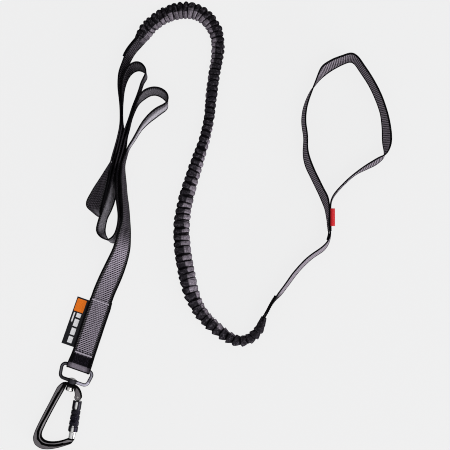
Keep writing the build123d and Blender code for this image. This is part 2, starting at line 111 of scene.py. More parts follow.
def wander(x, scale, seed, octaves=2):
    """Smooth repeatable noise of one number, about -1 to 1."""
    out, amp = np.zeros_like(np.asarray(x, float)), 1.0
    for o in range(octaves):
        table = np.random.default_rng(seed + 31 * o).uniform(-1, 1, 512)
        q = np.asarray(x, float) / scale * 2**o
        k = np.floor(q).astype(int)
        t = q - k
        t = t * t * (3 - 2 * t)
        out += amp * (table[k % 512] * (1 - t) + table[(k + 1) % 512] * t)
        amp *= 0.5
    return out / 1.5


# ------------------------------------------------------------------ meshes
def mesh_object(name, verts, faces, uv=None, smooth=True, layers=None):
    """A mesh piece from points in metres. uv has one pair per face corner."""
    me = bpy.data.meshes.new(name)
    me.from_pydata([tuple(v) for v in verts], [], [tuple(int(i) for i in f) for f in faces])
    if uv is not None:
        layer = me.uv_layers.new(name="weave")
        layer.uv.foreach_set("vector", np.asarray(uv, np.float32).ravel())
    for key, values in (layers or {}).items():
        att = me.attributes.new(key, "FLOAT", "POINT")
        att.data.foreach_set("value", np.asarray(values, np.float32))
    me.polygons.foreach_set("use_smooth", [smooth] * len(me.polygons))
    me.validate()
    me.update()
    ob = bpy.data.objects.new(name, me)
    scene.collection.objects.link(ob)
    return ob


def skin(name, rings, u, v, caps=True, layers=None):
    """A closed skin over rings of points: rings is rows x around x 3, u and v give the map, around has one more u than points."""
    n, m = rings.shape[:2]
    verts = rings.reshape(-1, 3)
    i, j = np.meshgrid(np.arange(n - 1), np.arange(m), indexing="ij")
    jn = (j + 1) % m
    quads = np.stack([i * m + j, i * m + jn, (i + 1) * m + jn, (i + 1) * m + j], -1).reshape(-1, 4)
    uu = np.broadcast_to(u, (n, m + 1)) if u.ndim == 1 else u
    vv = np.broadcast_to(v[:, None], (n, m + 1)) if v.ndim == 1 else v
    uv = np.stack(
        [
            np.stack([uu[i, j], vv[i, j]], -1),
            np.stack([uu[i, j + 1], vv[i, j + 1]], -1),
            np.stack([uu[i + 1, j + 1], vv[i + 1, j + 1]], -1),
            np.stack([uu[i + 1, j], vv[i + 1, j]], -1),
        ],
        2,
    ).reshape(-1, 2)
    faces = [tuple(q) for q in quads]
    corner_uv = [uv]
    if caps:
        faces.append(tuple(range(m))[::-1])
        corner_uv.append(np.stack([uu[0, :m], vv[0, :m]], -1)[::-1])
        faces.append(tuple((n - 1) * m + k for k in range(m)))
        corner_uv.append(np.stack([uu[-1, :m], vv[-1, :m]], -1))
    ob = mesh_object(name, verts, faces, np.concatenate(corner_uv), layers=layers)
    bm = bmesh.new()
    bm.from_mesh(ob.data)
    bmesh.ops.recalc_face_normals(bm, faces=bm.faces)
    bm.to_mesh(ob.data)
    bm.free()
    return ob


# ------------------------------------------------------------------ bungee
# The route's points in millimetres: the CAD's, moved up to 2 mm to the drawn line, with the two flattened ends.
BUNGEE = [
    (-88.2, 229.3, 11.6), (-82.9, 238.0, 10.2), (-75.7, 247.9, 8.6), (-66.2, 256.4, 8.6), (-54.1, 263.6, 8.6), (-39.5, 268.0, 8.6),
    (-24.6, 268.8, 8.6), (-11.4, 264.5, 8.6), (-1.2, 255.6, 8.6), (6.2, 244.4, 8.6), (10.0, 228.8, 8.6), (8.9, 210.1, 8.6),
    (5.1, 190.4, 8.6), (2.1, 169.3, 8.6), (0.3, 148.7, 8.6), (-2.5, 126.5, 8.6), (-8.1, 104.0, 8.6), (-15.2, 83.5, 8.6),
    (-21.7, 63.2, 8.6), (-28.2, 42.3, 8.6), (-33.4, 20.8, 8.6), (-36.0, -1.0, 8.6), (-35.3, -22.1, 8.6), (-32.3, -43.8, 8.6),
    (-28.4, -63.8, 8.6), (-23.9, -82.7, 8.6), (-15.9, -101.8, 8.6), (-4.0, -116.8, 8.6), (9.7, -129.0, 8.6), (23.5, -138.8, 8.6),
    (37.0, -143.5, 8.6), (49.7, -139.6, 8.6), (59.6, -130.5, 9.6), (63.9, -120.7, 11.2), (66.6, -113.0, 12.3),
]
curve = bpy.data.curves.new("bungee_line", "CURVE")
curve.dimensions = "3D"
curve.resolution_u = 24
line = curve.splines.new("NURBS")
line.points.add(len(BUNGEE) - 1)
for point, place in zip(line.points, BUNGEE):
    point.co = (place[0] * MM, place[1] * MM, place[2] * MM, 1.0)
line.order_u = 3
line.use_endpoint_u = True
carrier = bpy.data.objects.new("bungee_line", curve)
scene.collection.objects.link(carrier)
bpy.context.view_layer.update()
line_mesh = bpy.data.meshes.new_from_object(carrier.evaluated_get(bpy.context.evaluated_depsgraph_get()))
path = np.array([v.co for v in line_mesh.vertices], float) / MM
bpy.data.objects.remove(carrier)
bpy.data.meshes.remove(line_mesh)
path_s = lengths(path)
CORD_LENGTH = float(path_s[-1])

# Per route point: which way the section's long half-axis faces, which way the grey half faces (degrees from
# straight up towards the right hand), the long and the short half-axis in millimetres.
ROLL = [
    (163, 107, 12.6, 3.5), (140, 123, 10.9, 4.7), (122, 130, 9.2, 5.0), (110, 115, 9.1, 5.3), (101, 106, 9.5, 5.6), (95, 101, 9.8, 5.7),
    (93, 96, 9.8, 5.8), (94, 98, 9.4, 5.7), (98, 106, 8.7, 5.4), (104, 112, 8.3, 5.2), (112, 119, 7.9, 5.2), (126, 134, 7.5, 5.2),
    (139, 150, 7.9, 5.2), (150, 155, 8.8, 5.7), (163, 172, 8.8, 5.8), (178, 212, 8.6, 6.0), (200, 234, 8.6, 6.0), (226, 238, 8.4, 5.6),
    (246, 243, 8.5, 5.4), (260, 255, 8.8, 5.4), (268, 264, 9.2, 5.6), (271, 261, 9.5, 5.7), (271, 263, 9.9, 5.9), (270, 271, 10.3, 6.3),
    (266, 269, 10.4, 6.4), (259, 257, 9.6, 6.1), (249, 244, 8.6, 5.7), (235, 236, 8.5, 5.7), (218, 232, 8.8, 6.1), (203, 208, 8.5, 5.9),
    (194, 200, 8.7, 5.8), (187, 192, 9.6, 6.0), (183, 186, 10.8, 5.8), (181, 182, 12.0, 5.0), (180, 180, 12.6, 3.4),
]
at_point = np.array([path_s[np.argmin(np.linalg.norm(path - np.array(p), axis=1))] for p in BUNGEE])
STEP = 0.5
b_s = np.append(np.arange(0, CORD_LENGTH - 0.2, STEP), CORD_LENGTH)
b_p = np.stack([np.interp(b_s, path_s, path[:, k]) for k in range(3)], 1)
b_t = np.gradient(b_p, axis=0)
b_t[:, 2] = 0
b_t = unit(soften(b_t, 4))
b_side = np.cross(b_t, Z)  # right hand of the way it runs
bend = np.cross(b_t[:-1], b_t[1:])[:, 2] / STEP
bend = soften(np.append(bend, bend[-1])[:, None], 40)[:, 0]
outer = np.clip(bend / 0.008, -1, 1)  # 1 where the right hand is outside the bend
roll = np.array(ROLL, float)
roll = soften(np.stack([np.interp(b_s, at_point, roll[:, k]) for k in range(4)], 1), 14)
face, grey, wide, deep = np.radians(roll[:, 0]), np.radians(roll[:, 1]), roll[:, 2], roll[:, 3]
index = np.interp(b_s, at_point, np.arange(len(BUNGEE)))
pitch = np.interp(index, [0, 8, 14, 18, 24, 29, 34], [6.3, 6.6, 7.0, 7.8, 8.4, 9.2, 7.4])
count = np.concatenate([[0], np.cumsum(np.diff(b_s) / pitch[:-1])])
count = count + 0.14 * wander(count, 1.0, 21, 1)
saw = smoothstep(20, 27, index)
AROUND = 80
ang = np.arange(AROUND) / AROUND * 2 * np.pi
ce, se = np.cos(ang)[None, :], np.sin(ang)[None, :]
e = 0.88  # a little squarer than an ellipse
ex = np.sign(ce) * np.abs(ce) ** e * wide[:, None]
ey = np.sign(se) * np.abs(se) ** e * deep[:, None]
nx, ny = ce / wide[:, None], se / deep[:, None]
nl = np.hypot(nx, ny)
nx, ny = nx / nl, ny / nl
# which way a point of the section faces: from straight up, and towards the right hand
look = np.arctan2(ex * np.sin(face)[:, None] - ey * np.cos(face)[:, None], ex * np.cos(face)[:, None] + ey * np.sin(face)[:, None])
sideways = np.sin(look)
# folds: each leans a little on its way round, and no two are alike
def scatter(k, seed, spread=1.9):
    """Smooth noise round the section for fold number k, with no seam."""
    a = wander(spread * np.cos(ang)[None, :] + k * 7.31, 1.0, seed, 1)
    b = wander(spread * np.sin(ang)[None, :] + k * 5.17 + 60, 1.0, seed + 3, 1)
    return 0.75 * (a + b)


which = np.floor(count)
above = np.clip(np.cos(look), 0, 1)
lean = 0.24 * wander(which, 1.0, 3, 1)[:, None] * sideways + 0.15 * wander(which + 90, 1.0, 9, 1)[:, None] * np.cos(look)
lean = lean + 0.10 * np.cos(look) - 0.10 * sideways * outer[:, None]
lean = lean + 0.09 * scatter(which[:, None], 13)
tt = count[:, None] + lean
kk = np.floor(tt)
tt = tt - kk
next_share = smoothstep(0.3, 0.7, tt)
open_ = (1 - next_share) * scatter(kk, 61) + next_share * scatter(kk + 1, 61)  # how wide a crease gapes, about -1 to 1
open_ = np.clip(0.5 + 0.55 * open_, 0.05, 1)
near = np.minimum(tt, 1 - tt) * 2
round_fold = np.sin(np.pi / 2 * np.clip(near, 0, 1)) ** (0.36 + 0.34 * open_)
tooth = np.where(tt < 0.14, (np.maximum(tt, 0) / 0.14) ** 0.7, 1 - 0.97 * (np.clip(tt - 0.14, 0, 1) / 0.86) ** 1.2)
g = round_fold * (1 - saw[:, None]) + tooth * saw[:, None]
own = 1 + 0.30 * wander(kk, 1.0, 41, 1)
outside = np.clip(sideways * outer[:, None], 0, 1) ** 2
calm = smoothstep(0, 16, b_s) * (1 - smoothstep(CORD_LENGTH - 22, CORD_LENGTH - 3, b_s))
amp = (1.9 + 1.3 * outside) * own * calm[:, None]
small = 0.35 * scatter(kk, 77, 4.0) * calm[:, None]
push = (g - 0.66) * amp + small * g
ex, ey = ex + nx * push, ey + ny * push
mid_run = (smoothstep(12.5, 16.5, index) * (1 - smoothstep(29, 32, index)))[:, None]
middle = np.clip(np.cos(look + 0.12), 0, 1) ** 2.2
gape = 0.10 + 0.12 * open_ * (0.45 + 0.55 * above)
gape = gape * (1 - mid_run) + mid_run * (0.13 + 0.34 * open_ * middle)
gape = gape * (1 - 0.38 * saw[:, None])
from_top = np.where(saw[:, None] > 0.5, np.minimum(tt * 1.6, 1 - tt), np.minimum(tt, 1 - tt))
# painted shade: dark marks how far the sheath's colour is darkened down in each crease
dark = 1 - smoothstep(0.50, 1.0, from_top / gape)
# painted light and shade: glow makes each fold lighter towards one end, varies it at random fold to fold, and darkens
# it near the cord's ends and by which way it faces
rise = (1 - mid_run) * (0.72 + 0.25 * tt) + mid_run * (0.30 + 0.80 * tt)
glow = np.clip(rise + 0.30 * scatter(kk, 29, 2.6) + 0.16 * wander(kk, 1.0, 57, 1), 0.08, 1.35)
glow = glow * (1 - saw[:, None]) + saw[:, None] * np.clip(1.15 - 0.62 * tt + 0.32 * scatter(kk, 29, 2.6), 0.1, 1.35)
turned = look - grey[:, None]
turned = np.arctan2(np.sin(turned), np.cos(turned))
side_on = smoothstep(0.10, 0.50, np.abs(turned) / np.pi)
glow = glow * (0.84 + 0.16 * side_on) * (0.45 + 0.55 * calm[:, None]) * (0.94 + 0.16 * mid_run)
up = ex * np.cos(face)[:, None] + ey * np.sin(face)[:, None]
side = ex * np.sin(face)[:, None] - ey * np.cos(face)[:, None]
mid_z = -soften(up.min(1)[:, None], 10)[:, 0] + 0.2
mid_z = np.maximum(mid_z, -up.min(1) + 0.05)
rings = np.repeat(b_p[:, None], AROUND, 1)
rings[..., 2] = mid_z[:, None] + up
rings[..., :2] += (b_side[:, None] * side[..., None])[..., :2]
bungee = skin(
    "bungee",
    rings * MM,
    np.concatenate([ang, [2 * np.pi]]) * 6.0,
    b_s,
    layers={
        "facing": (np.abs(turned) / np.pi).ravel(),
        "crease_shade": (dark * np.clip(calm[:, None] * 1.3, 0, 1)).ravel(),
        "fold_light": glow.ravel(),
        "edge": np.clip(0.5 + 0.5 * scatter(kk, 19, 3.0) + 0.25 * wander(kk, 1.0, 63, 1), 0, 1).ravel(),
        # painted shade: ground darkens the black half along the cord's first stretch and on its right-hand side in the
        # middle run
        "ground": (smoothstep(7, 13, index)[:, None] * (1 - 0.75 * smoothstep(0.55, 0.95, sideways) * mid_run)).ravel(),
    },
)
CORE_AROUND = 16
core_ang = np.arange(CORE_AROUND) / CORE_AROUND * 2 * np.pi
core_c = np.stack([b_p[:, 0], b_p[:, 1], mid_z], 1)[6:-6:4]
core_r = np.minimum(4.2, 0.6 * deep)[6:-6:4]
core_ring = core_c[:, None] + (
    b_side[6:-6:4][:, None] * np.cos(core_ang)[None, :, None] + Z * np.sin(core_ang)[None, :, None]
) * (core_r[:, None, None] * (1 + 0.06 * np.cos(core_ang * 8))[None, :, None])
core = skin("bungee_core", core_ring * MM, np.arange(CORE_AROUND + 1) / CORE_AROUND * 26.0, b_s[6:-6:4])

# ------------------------------------------------------------------ traced selvedges
# Upper selvedge x, y, height, then the lower selvedge x, y, in millimetres.
MAIN_EDGES = [
    (-90.4, 230.8, 23.4, -84.7, 225.7), (-95.8, 224.2, 23.5, -90.0, 220.1), (-101.0, 217.4, 23.5, -94.5, 214.6), (-105.2, 209.2, 23.7, -98.8, 207.3), (-108.3, 200.6, 23.8, -102.5, 198.9),
    (-111.7, 190.8, 23.8, -105.8, 189.8), (-113.0, 180.3, 24.2, -108.5, 180.2), (-112.8, 168.6, 24.5, -110.4, 168.9), (-111.5, 157.5, 24.5, -110.3, 159.0), (-110.5, 146.4, 24.6, -109.9, 147.8),
    (-110.2, 134.1, 24.5, -109.9, 135.8), (-110.8, 123.7, 24.5, -110.3, 125.3), (-112.8, 113.3, 24.5, -112.0, 114.9), (-115.6, 102.2, 24.5, -114.8, 103.5), (-118.8, 91.2, 24.6, -119.1, 92.3),
    (-121.7, 80.1, 24.5, -123.9, 81.5), (-123.7, 69.0, 23.5, -130.6, 70.9), (-125.3, 57.8, 21.2, -137.5, 60.2), (-127.8, 46.8, 17.2, -145.3, 48.7), (-130.6, 37.2, 13.3, -151.3, 38.5),
    (-132.7, 29.8, 11.2, -154.5, 32.0), (-133.8, 25.3, 12.0, -155.3, 27.3), (-134.4, 21.8, 15.3, -153.8, 22.9), (-134.6, 18.8, 19.1, -150.1, 19.9), (-134.7, 16.2, 21.8, -146.1, 16.8),
    (-134.4, 14.3, 23.4, -142.1, 13.5), (-133.7, 14.3, 24.0, -138.0, 10.8), (-132.8, 17.7, 24.2, -133.9, 13.3), (-132.1, 22.9, 24.4, -131.9, 19.8), (-131.5, 28.1, 24.4, -129.8, 25.5),
    (-129.0, 37.6, 24.5, -127.0, 36.3), (-126.4, 48.7, 24.5, -124.3, 48.0), (-123.9, 59.2, 24.6, -122.9, 59.0), (-122.5, 69.1, 24.6, -121.1, 69.7), (-120.2, 78.9, 24.5, -118.1, 80.0),
    (-115.9, 89.9, 24.5, -114.6, 91.3), (-112.8, 102.2, 24.5, -111.3, 103.8), (-110.4, 113.3, 24.3, -107.1, 115.3), (-108.5, 123.1, 24.5, -108.6, 124.9), (-107.7, 134.1, 24.5, -109.6, 136.2),
    (-107.7, 146.4, 24.5, -109.5, 148.3), (-108.2, 157.5, 24.6, -108.7, 158.9), (-108.5, 167.3, 24.5, -107.5, 168.9), (-108.1, 176.6, 24.4, -105.4, 177.0), (-106.1, 185.8, 24.2, -102.5, 183.9),
    (-102.5, 194.5, 23.7, -98.5, 189.4), (-97.1, 200.2, 23.2, -93.8, 192.8), (-90.6, 202.5, 23.0, -88.5, 194.0), (-84.6, 200.8, 23.2, -83.8, 192.6), (-80.5, 196.2, 23.8, -80.4, 190.1),
    (-78.8, 190.8, 24.2, -79.1, 186.2), (-80.3, 185.6, 24.5, -79.8, 183.2), (-84.3, 177.6, 24.5, -82.8, 178.7), (-86.8, 169.7, 24.5, -85.6, 170.9), (-89.4, 162.1, 24.5, -88.3, 163.4),
    (-92.0, 155.2, 24.5, -91.2, 156.7), (-94.7, 148.4, 24.5, -93.9, 149.9), (-97.4, 140.3, 24.5, -96.6, 142.2), (-100.8, 129.7, 24.5, -100.3, 131.5), (-104.6, 119.4, 24.5, -102.9, 121.2),
    (-107.8, 108.3, 24.5, -106.0, 109.9), (-110.6, 97.3, 24.5, -108.8, 98.9), (-113.5, 85.6, 24.5, -112.0, 87.0), (-116.8, 74.0, 24.5, -115.4, 75.0), (-120.2, 62.3, 24.4, -116.9, 62.2),
    (-123.2, 51.9, 23.7, -116.8, 50.2), (-126.4, 41.5, 22.8, -117.6, 38.4), (-130.0, 30.4, 22.5, -120.5, 27.3), (-133.4, 20.0, 22.8, -124.5, 17.5), (-136.5, 10.1, 23.3, -128.8, 8.7),
    (-139.0, 1.5, 23.1, -130.5, 0.7), (-139.7, -5.8, 23.1, -131.3, -6.2), (-136.3, -11.5, 23.8, -130.1, -12.0), (-130.7, -15.2, 24.3, -127.3, -17.0), (-124.3, -15.9, 24.0, -122.5, -21.0),
    (-118.8, -11.0, 23.1, -116.5, -19.2), (-115.3, -3.4, 23.5, -112.3, -10.0), (-113.3, 6.4, 23.9, -110.4, 1.5), (-113.2, 17.5, 24.3, -110.5, 14.6), (-114.8, 29.2, 24.3, -111.3, 28.4),
    (-115.6, 40.8, 24.4, -112.4, 40.9), (-115.7, 51.9, 24.4, -112.9, 52.7), (-114.8, 63.6, 24.5, -112.4, 64.5), (-112.8, 75.2, 24.5, -110.5, 76.3), (-109.1, 86.9, 24.5, -107.6, 88.3),
    (-106.2, 97.9, 24.5, -104.9, 99.5), (-103.7, 108.3, 24.5, -103.8, 110.0), (-100.8, 118.2, 24.5, -101.2, 120.2), (-98.3, 128.6, 24.5, -98.8, 130.6), (-94.7, 139.0, 24.5, -95.3, 140.9),
    (-91.8, 148.4, 24.6, -91.3, 149.2), (-88.4, 157.0, 24.4, -87.3, 154.4), (-84.1, 164.8, 23.7, -82.1, 158.4), (-78.3, 169.0, 23.5, -76.6, 162.0), (-71.2, 171.2, 23.4, -71.1, 163.5),
    (-64.2, 171.0, 23.2, -65.6, 162.9), (-57.5, 168.3, 23.0, -59.8, 159.9), (-52.9, 163.8, 23.2, -55.4, 155.9), (-51.4, 158.3, 23.6, -53.4, 151.7), (-52.9, 153.5, 23.8, -53.6, 147.4),
    (-57.5, 149.9, 23.8, -56.3, 143.9), (-63.7, 147.0, 23.6, -60.6, 140.8), (-70.6, 142.3, 23.5, -66.8, 136.1), (-76.7, 136.4, 23.8, -73.6, 131.1), (-82.1, 129.7, 24.2, -79.8, 125.9),
    (-86.8, 122.2, 24.5, -85.1, 120.7), (-91.8, 112.8, 24.5, -90.3, 113.2), (-97.1, 103.7, 24.6, -95.8, 104.5), (-102.0, 94.9, 24.6, -101.6, 95.5), (-104.9, 85.7, 24.6, -104.4, 86.5),
    (-107.7, 76.4, 24.6, -106.6, 77.2), (-109.4, 67.2, 24.4, -106.6, 68.0), (-109.9, 58.0, 24.7, -105.6, 58.2), (-109.5, 48.2, 24.6, -104.6, 48.2), (-109.0, 38.4, 24.5, -103.8, 38.3),
    (-108.4, 28.1, 24.2, -102.3, 28.0), (-108.0, 18.1, 24.0, -101.2, 17.8), (-108.6, 8.3, 23.6, -100.4, 7.2), (-111.0, -1.3, 22.2, -99.8, -3.5), (-114.3, -10.8, 19.9, -99.8, -15.1),
    (-117.4, -21.5, 17.8, -100.7, -26.9), (-121.3, -31.2, 15.3, -102.8, -38.2), (-126.4, -41.2, 12.1, -106.0, -49.3), (-132.0, -51.9, 7.8, -109.9, -60.5), (-138.3, -63.4, 1.0, -114.4, -71.9),
    (-143.3, -74.7, 1.0, -118.8, -82.9), (-147.4, -85.9, 1.0, -122.5, -93.9),
]
HANDLE_EDGES = [
    (66.8, -112.2, 24.3, 67.6, -114.2), (70.9, -105.2, 24.3, 71.8, -107.1), (74.8, -97.5, 24.3, 75.9, -99.2), (78.9, -90.2, 24.3, 81.2, -92.3), (83.2, -83.1, 24.3, 87.3, -87.0),
    (88.3, -76.3, 24.3, 92.8, -80.0), (93.9, -68.6, 24.3, 98.6, -72.4), (99.9, -59.9, 24.2, 104.8, -63.9), (107.1, -51.2, 24.2, 112.1, -54.9), (114.8, -42.8, 24.2, 119.7, -47.1),
    (122.2, -36.2, 24.2, 126.9, -40.6), (129.7, -30.9, 24.1, 134.4, -35.4), (136.9, -25.9, 24.1, 141.9, -30.2), (142.7, -20.5, 24.3, 146.6, -23.7), (146.6, -14.2, 24.5, 149.4, -16.0),
    (147.9, -6.4, 24.8, 150.2, -7.2), (147.9, 2.8, 24.8, 150.3, 2.8), (147.8, 12.6, 24.9, 150.2, 12.8), (147.8, 21.2, 24.9, 150.3, 21.5), (148.2, 29.8, 24.8, 151.1, 30.6),
    (151.5, 38.1, 24.7, 155.0, 38.3), (157.4, 45.7, 24.5, 160.9, 45.5), (164.0, 52.5, 24.3, 167.5, 52.3), (171.0, 59.3, 24.3, 174.6, 59.0), (178.4, 65.4, 24.4, 182.1, 64.8),
    (186.1, 71.3, 24.4, 190.6, 69.0), (194.0, 76.7, 24.3, 199.1, 72.8), (201.7, 81.4, 24.1, 206.6, 76.5), (208.7, 85.3, 24.3, 212.5, 81.2), (214.7, 87.7, 24.9, 216.9, 86.5),
    (219.2, 92.9, 24.9, 217.2, 93.7), (222.3, 100.1, 24.0, 215.5, 101.0), (223.4, 108.5, 23.4, 214.7, 109.7), (222.7, 117.8, 23.6, 214.6, 119.2), (221.0, 128.1, 24.0, 213.9, 128.9),
    (218.3, 139.1, 24.3, 212.5, 139.6), (215.1, 149.5, 24.4, 209.5, 149.6), (211.0, 160.6, 24.4, 205.7, 159.5), (206.0, 171.0, 24.5, 201.2, 169.5), (200.1, 181.7, 24.5, 195.6, 179.7),
    (193.8, 191.6, 24.5, 189.5, 188.9), (187.0, 201.5, 24.5, 183.6, 197.8), (180.9, 209.6, 24.0, 179.5, 202.9), (174.5, 213.3, 23.5, 175.0, 204.9), (167.5, 211.8, 23.5, 169.8, 203.6),
    (159.7, 209.1, 23.3, 163.6, 200.9), (151.8, 206.3, 22.8, 157.0, 197.4), (144.6, 202.4, 22.6, 150.5, 193.5), (138.1, 197.6, 22.7, 144.0, 188.9), (133.9, 190.0, 23.9, 137.8, 183.7),
    (130.8, 181.3, 24.8, 132.8, 178.4), (127.4, 172.2, 25.0, 127.8, 172.2), (124.0, 163.1, 24.9, 123.0, 164.4), (120.9, 154.0, 24.9, 119.2, 155.9), (118.6, 144.7, 24.8, 116.2, 146.7),
    (117.6, 135.4, 24.7, 114.6, 137.2), (117.8, 125.6, 24.7, 114.4, 127.4), (119.2, 116.3, 24.7, 115.8, 117.7), (119.8, 107.1, 24.8, 116.9, 108.3), (119.8, 97.6, 24.7, 116.3, 98.7),
    (121.5, 88.2, 24.4, 116.1, 88.5), (125.3, 77.2, 24.0, 118.8, 75.0), (129.9, 66.4, 24.1, 124.2, 63.2), (135.3, 55.5, 24.1, 129.8, 51.7), (140.3, 45.5, 24.0, 135.2, 40.5),
    (145.0, 36.4, 23.7, 139.8, 29.8), (146.5, 27.3, 24.1, 143.2, 21.3), (146.6, 17.5, 24.7, 144.8, 13.8), (146.55, 7.7, 24.9, 146.2, 5.8), (146.45, -2.2, 25.0, 147.4, -3.2),
    (145.4, -10.2, 25.0, 148.3, -12.2), (143.6, -16.4, 24.9, 147.2, -18.6),
]


O = np.array([-172.526, -195.168, 0.0])
U = np.array([-0.3305, -0.9438, 0.0])
V = np.array([0.9438, -0.3305, 0.0])
PIVOT = O + 13.6 * U + 13.4 * V + 5.5 * Z
GATE_X = unit(U * math.cos(math.radians(10.2)) + V * math.sin(math.radians(10.2)))
GATE_Y = np.cross(Z, GATE_X)


def local(u, v, z):
    """Points on the carabiner's own axes: u down the swivel axis, v across, z up."""
    u, v, z = np.broadcast_arrays(np.asarray(u, float), np.asarray(v, float), np.asarray(z, float))
    return O + u[..., None] * U + v[..., None] * V + z[..., None] * Z


WEB_W = 25.0
LEAD = 5.0  # the strap runs on this far inside the bungee's end
HALF = WEB_W / 2

# cross-section of the webbing: across (share of half width), half thickness in mm
RIM = [
    (0.0, 0.72), (0.15, 0.72), (0.3, 0.72), (0.45, 0.72), (0.6, 0.71), (0.7, 0.70), (0.745, 0.66), (0.765, 0.58),
    (0.785, 0.66), (0.82, 0.86), (0.86, 0.96), (0.90, 0.98), (0.94, 0.90), (0.97, 0.68), (0.99, 0.38), (1.0, 0.0),
]


def section():
    """The closed loop of the webbing's section, as across and offset, starting at one selvedge."""
    right = [(x, y) for x, y in RIM]
    top = [(-x, y) for x, y in right[::-1]] + right[1:]
    loop = top + [(x, -y) for x, y in top[::-1]][1:-1]
    return np.array(loop)


LOOP = section()


def strap(name, centre, across, normal, at, half=None, thick=0.88, rows_from=0.0):
    """A strap over frames given in mm. at is the distance along, for the weave."""
    n = len(centre)
    half = np.full(n, HALF) if half is None else half
    half = half * (1 + 0.0035 * wander(at, 9.0, 5))
    x, y = LOOP[:, 0], LOOP[:, 1]
    rings = (
        centre[:, None]
        + across[:, None] * (x[None, :, None] * half[:, None, None])
        + normal[:, None] * (y[None, :, None] * thick)
    )
    u = np.concatenate([x, x[:1]]) * HALF
    return skin(name, rings * MM, u, at + rows_from)


def frames_of(top, low, step, sigma, loose=None):
    centre = (top + low) / 2
    knots = lengths(centre)
    s = np.linspace(0, knots[-1], int(knots[-1] / step) + 1)
    top, low = spline(knots, top, s), spline(knots, low, s)
    top, low = soften(top, sigma / step), soften(low, sigma / step)
    return oriented(top, low)


def oriented(top, low):
    centre = (top + low) / 2
    along = unit(np.gradient(centre, axis=0))
    across = unit(top - low)  # the strap's rulings, which may slant a little on a turn
    return centre, across, unit(np.cross(along, across)), along, lengths(centre)


TWIST_T = [(-76.4, 4.5), (-65, 6.6), (-53.8, 10.0), (-43, 13.6), (-32.8, 16.8), (-12.4, 21.6), (5.4, 24.3), (16, 24.8), (26.5, 25.0)]
TWIST_F = [(-84.7, 3.7), (-73.2, 3.2), (-62, 2.6), (-50.8, 2.0), (-39.7, 1.6), (-16.7, 1.2), (4.0, 1.0), (26.5, 0.9)]


def heights(rows, y, fallback):
    ys, zs = zip(*rows)
    return np.where(y > ys[-1] + 1.532, fallback, np.interp(y - 1.532, ys, zs))


main = np.array(MAIN_EDGES)
main_top = np.stack([main[:, 0], main[:, 1], np.minimum(main[:, 2] + 0.6, 25.0)], 1)
main_low = np.stack([main[:, 3], main[:, 4], np.full(len(main), 0.9)], 1)
late = np.arange(len(main)) > 111
main_top[late, 2] = heights(TWIST_T, main[late, 1], main_top[late, 2])
main_low[late, 2] = heights(TWIST_F, main[late, 4], main_low[late, 2])
# a higher point stands further from the view's middle for the same line of sight
for rows, was in ((main_top, main[:, 2]), (main_low, np.zeros(len(main)))):
    k = ((1400 - rows[:, 2]) / (1400 - was))[late, None]
    rows[late, :2] = VIEW_XY + (rows[late, :2] - VIEW_XY) * k
# the last traced rows give way to the sewn end's own axis
main_top, main_low = main_top[:-2], main_low[:-2]
main_top = np.concatenate([main_top, local([-118.0, -108.0], [-12.0, -12.0], [3.9, 3.75])])
main_low = np.concatenate([main_low, local([-118.0, -108.0], [13.0, 13.0], [3.7, 3.75])])


def rounded(points, radii, step):
    """A polyline in two dimensions with its corners rounded, sampled evenly."""
    out = [np.array(points[0], float)]
    for a, b, c, r in zip(points, points[1:], points[2:], radii):
        a, b, c = (np.array(p, float) for p in (a, b, c))
        d0, d1 = unit(a - b), unit(c - b)
        half = math.acos(np.clip((d0 * d1).sum(), -1, 1)) / 2
        cut = r / math.tan(half)
        mid = b + unit(d0 + d1) * (r / math.sin(half))
        p0, p1 = b + d0 * cut - mid, b + d1 * cut - mid
        turn = math.atan2(p0[0] * p1[1] - p0[1] * p1[0], (p0 * p1).sum())
        for k in range(9):
            ang = turn * k / 8
            out.append(mid + np.array([p0[0] * math.cos(ang) - p0[1] * math.sin(ang), p0[0] * math.sin(ang) + p0[1] * math.cos(ang)]))
    out.append(np.array(points[-1], float))
    out = np.array(out)
    s = lengths(out)
    at = np.linspace(0, s[-1], int(s[-1] / step) + 1)
    return np.stack([np.interp(at, s, out[:, k]) for k in range(2)], 1)




def lead(rows, back):
    """The rows with one more in front, back mm before the first."""
    return np.concatenate([[rows[0] + (rows[0] - rows[2]) / np.linalg.norm(rows[0] - rows[2]) * back], rows])


main_top, main_low = lead(main_top, LEAD), lead(main_low, LEAD)
centre, across, normal, along, dist = frames_of(main_top, main_low, 0.8, 1.8)
fold = rounded(
    [(-107.0, 3.75), (-34.0, 3.75), (-27.0, 8.9), (-17.6, 8.9), (-17.6, 2.1), (-26.0, 2.1), (-33.5, 0.95), (-110.0, 0.95)],
    [9, 5, 3.3, 3.3, 9, 9],
    0.9,
)
def drift(u):
    """How far the sewn end stands beside the swivel's axis, mm."""
    return 0.5 + 0.5 * smoothstep(-112.0, -98.0, u) + 0.9 * smoothstep(-100.0, -22.0, u)


fold_c = local(fold[:, 0], drift(fold[:, 0]), fold[:, 1])
fold_t = unit(np.gradient(fold_c, axis=0))
fold_a = np.broadcast_to(-V, fold_c.shape)
fold_n = np.cross(fold_t, fold_a)
fold_s = lengths(fold_c) + dist[-1] + np.linalg.norm(fold_c[0] - centre[-1])
all_c = np.concatenate([centre, fold_c])
all_a = np.concatenate([across, fold_a])
all_n = np.concatenate([normal, fold_n])
all_s = np.concatenate([dist, fold_s])
u_of = np.concatenate([np.full(len(centre), -200.0), fold[:, 0]])
late_y = np.concatenate([np.where(dist > dist[-1] - 230, centre[:, 1], 400.0), np.full(len(fold), -200.0)])
all_half = HALF + 1.15 * smoothstep(12.0, -26.0, late_y) + 0.75 * smoothstep(-118, -100, u_of) + 0.6 * smoothstep(-40, -22, u_of)
END_FROM = float(dist[-1])  # where the sewn end begins, along the strap
main_strap = strap("main_strap", all_c, all_a, all_n, all_s, all_half)

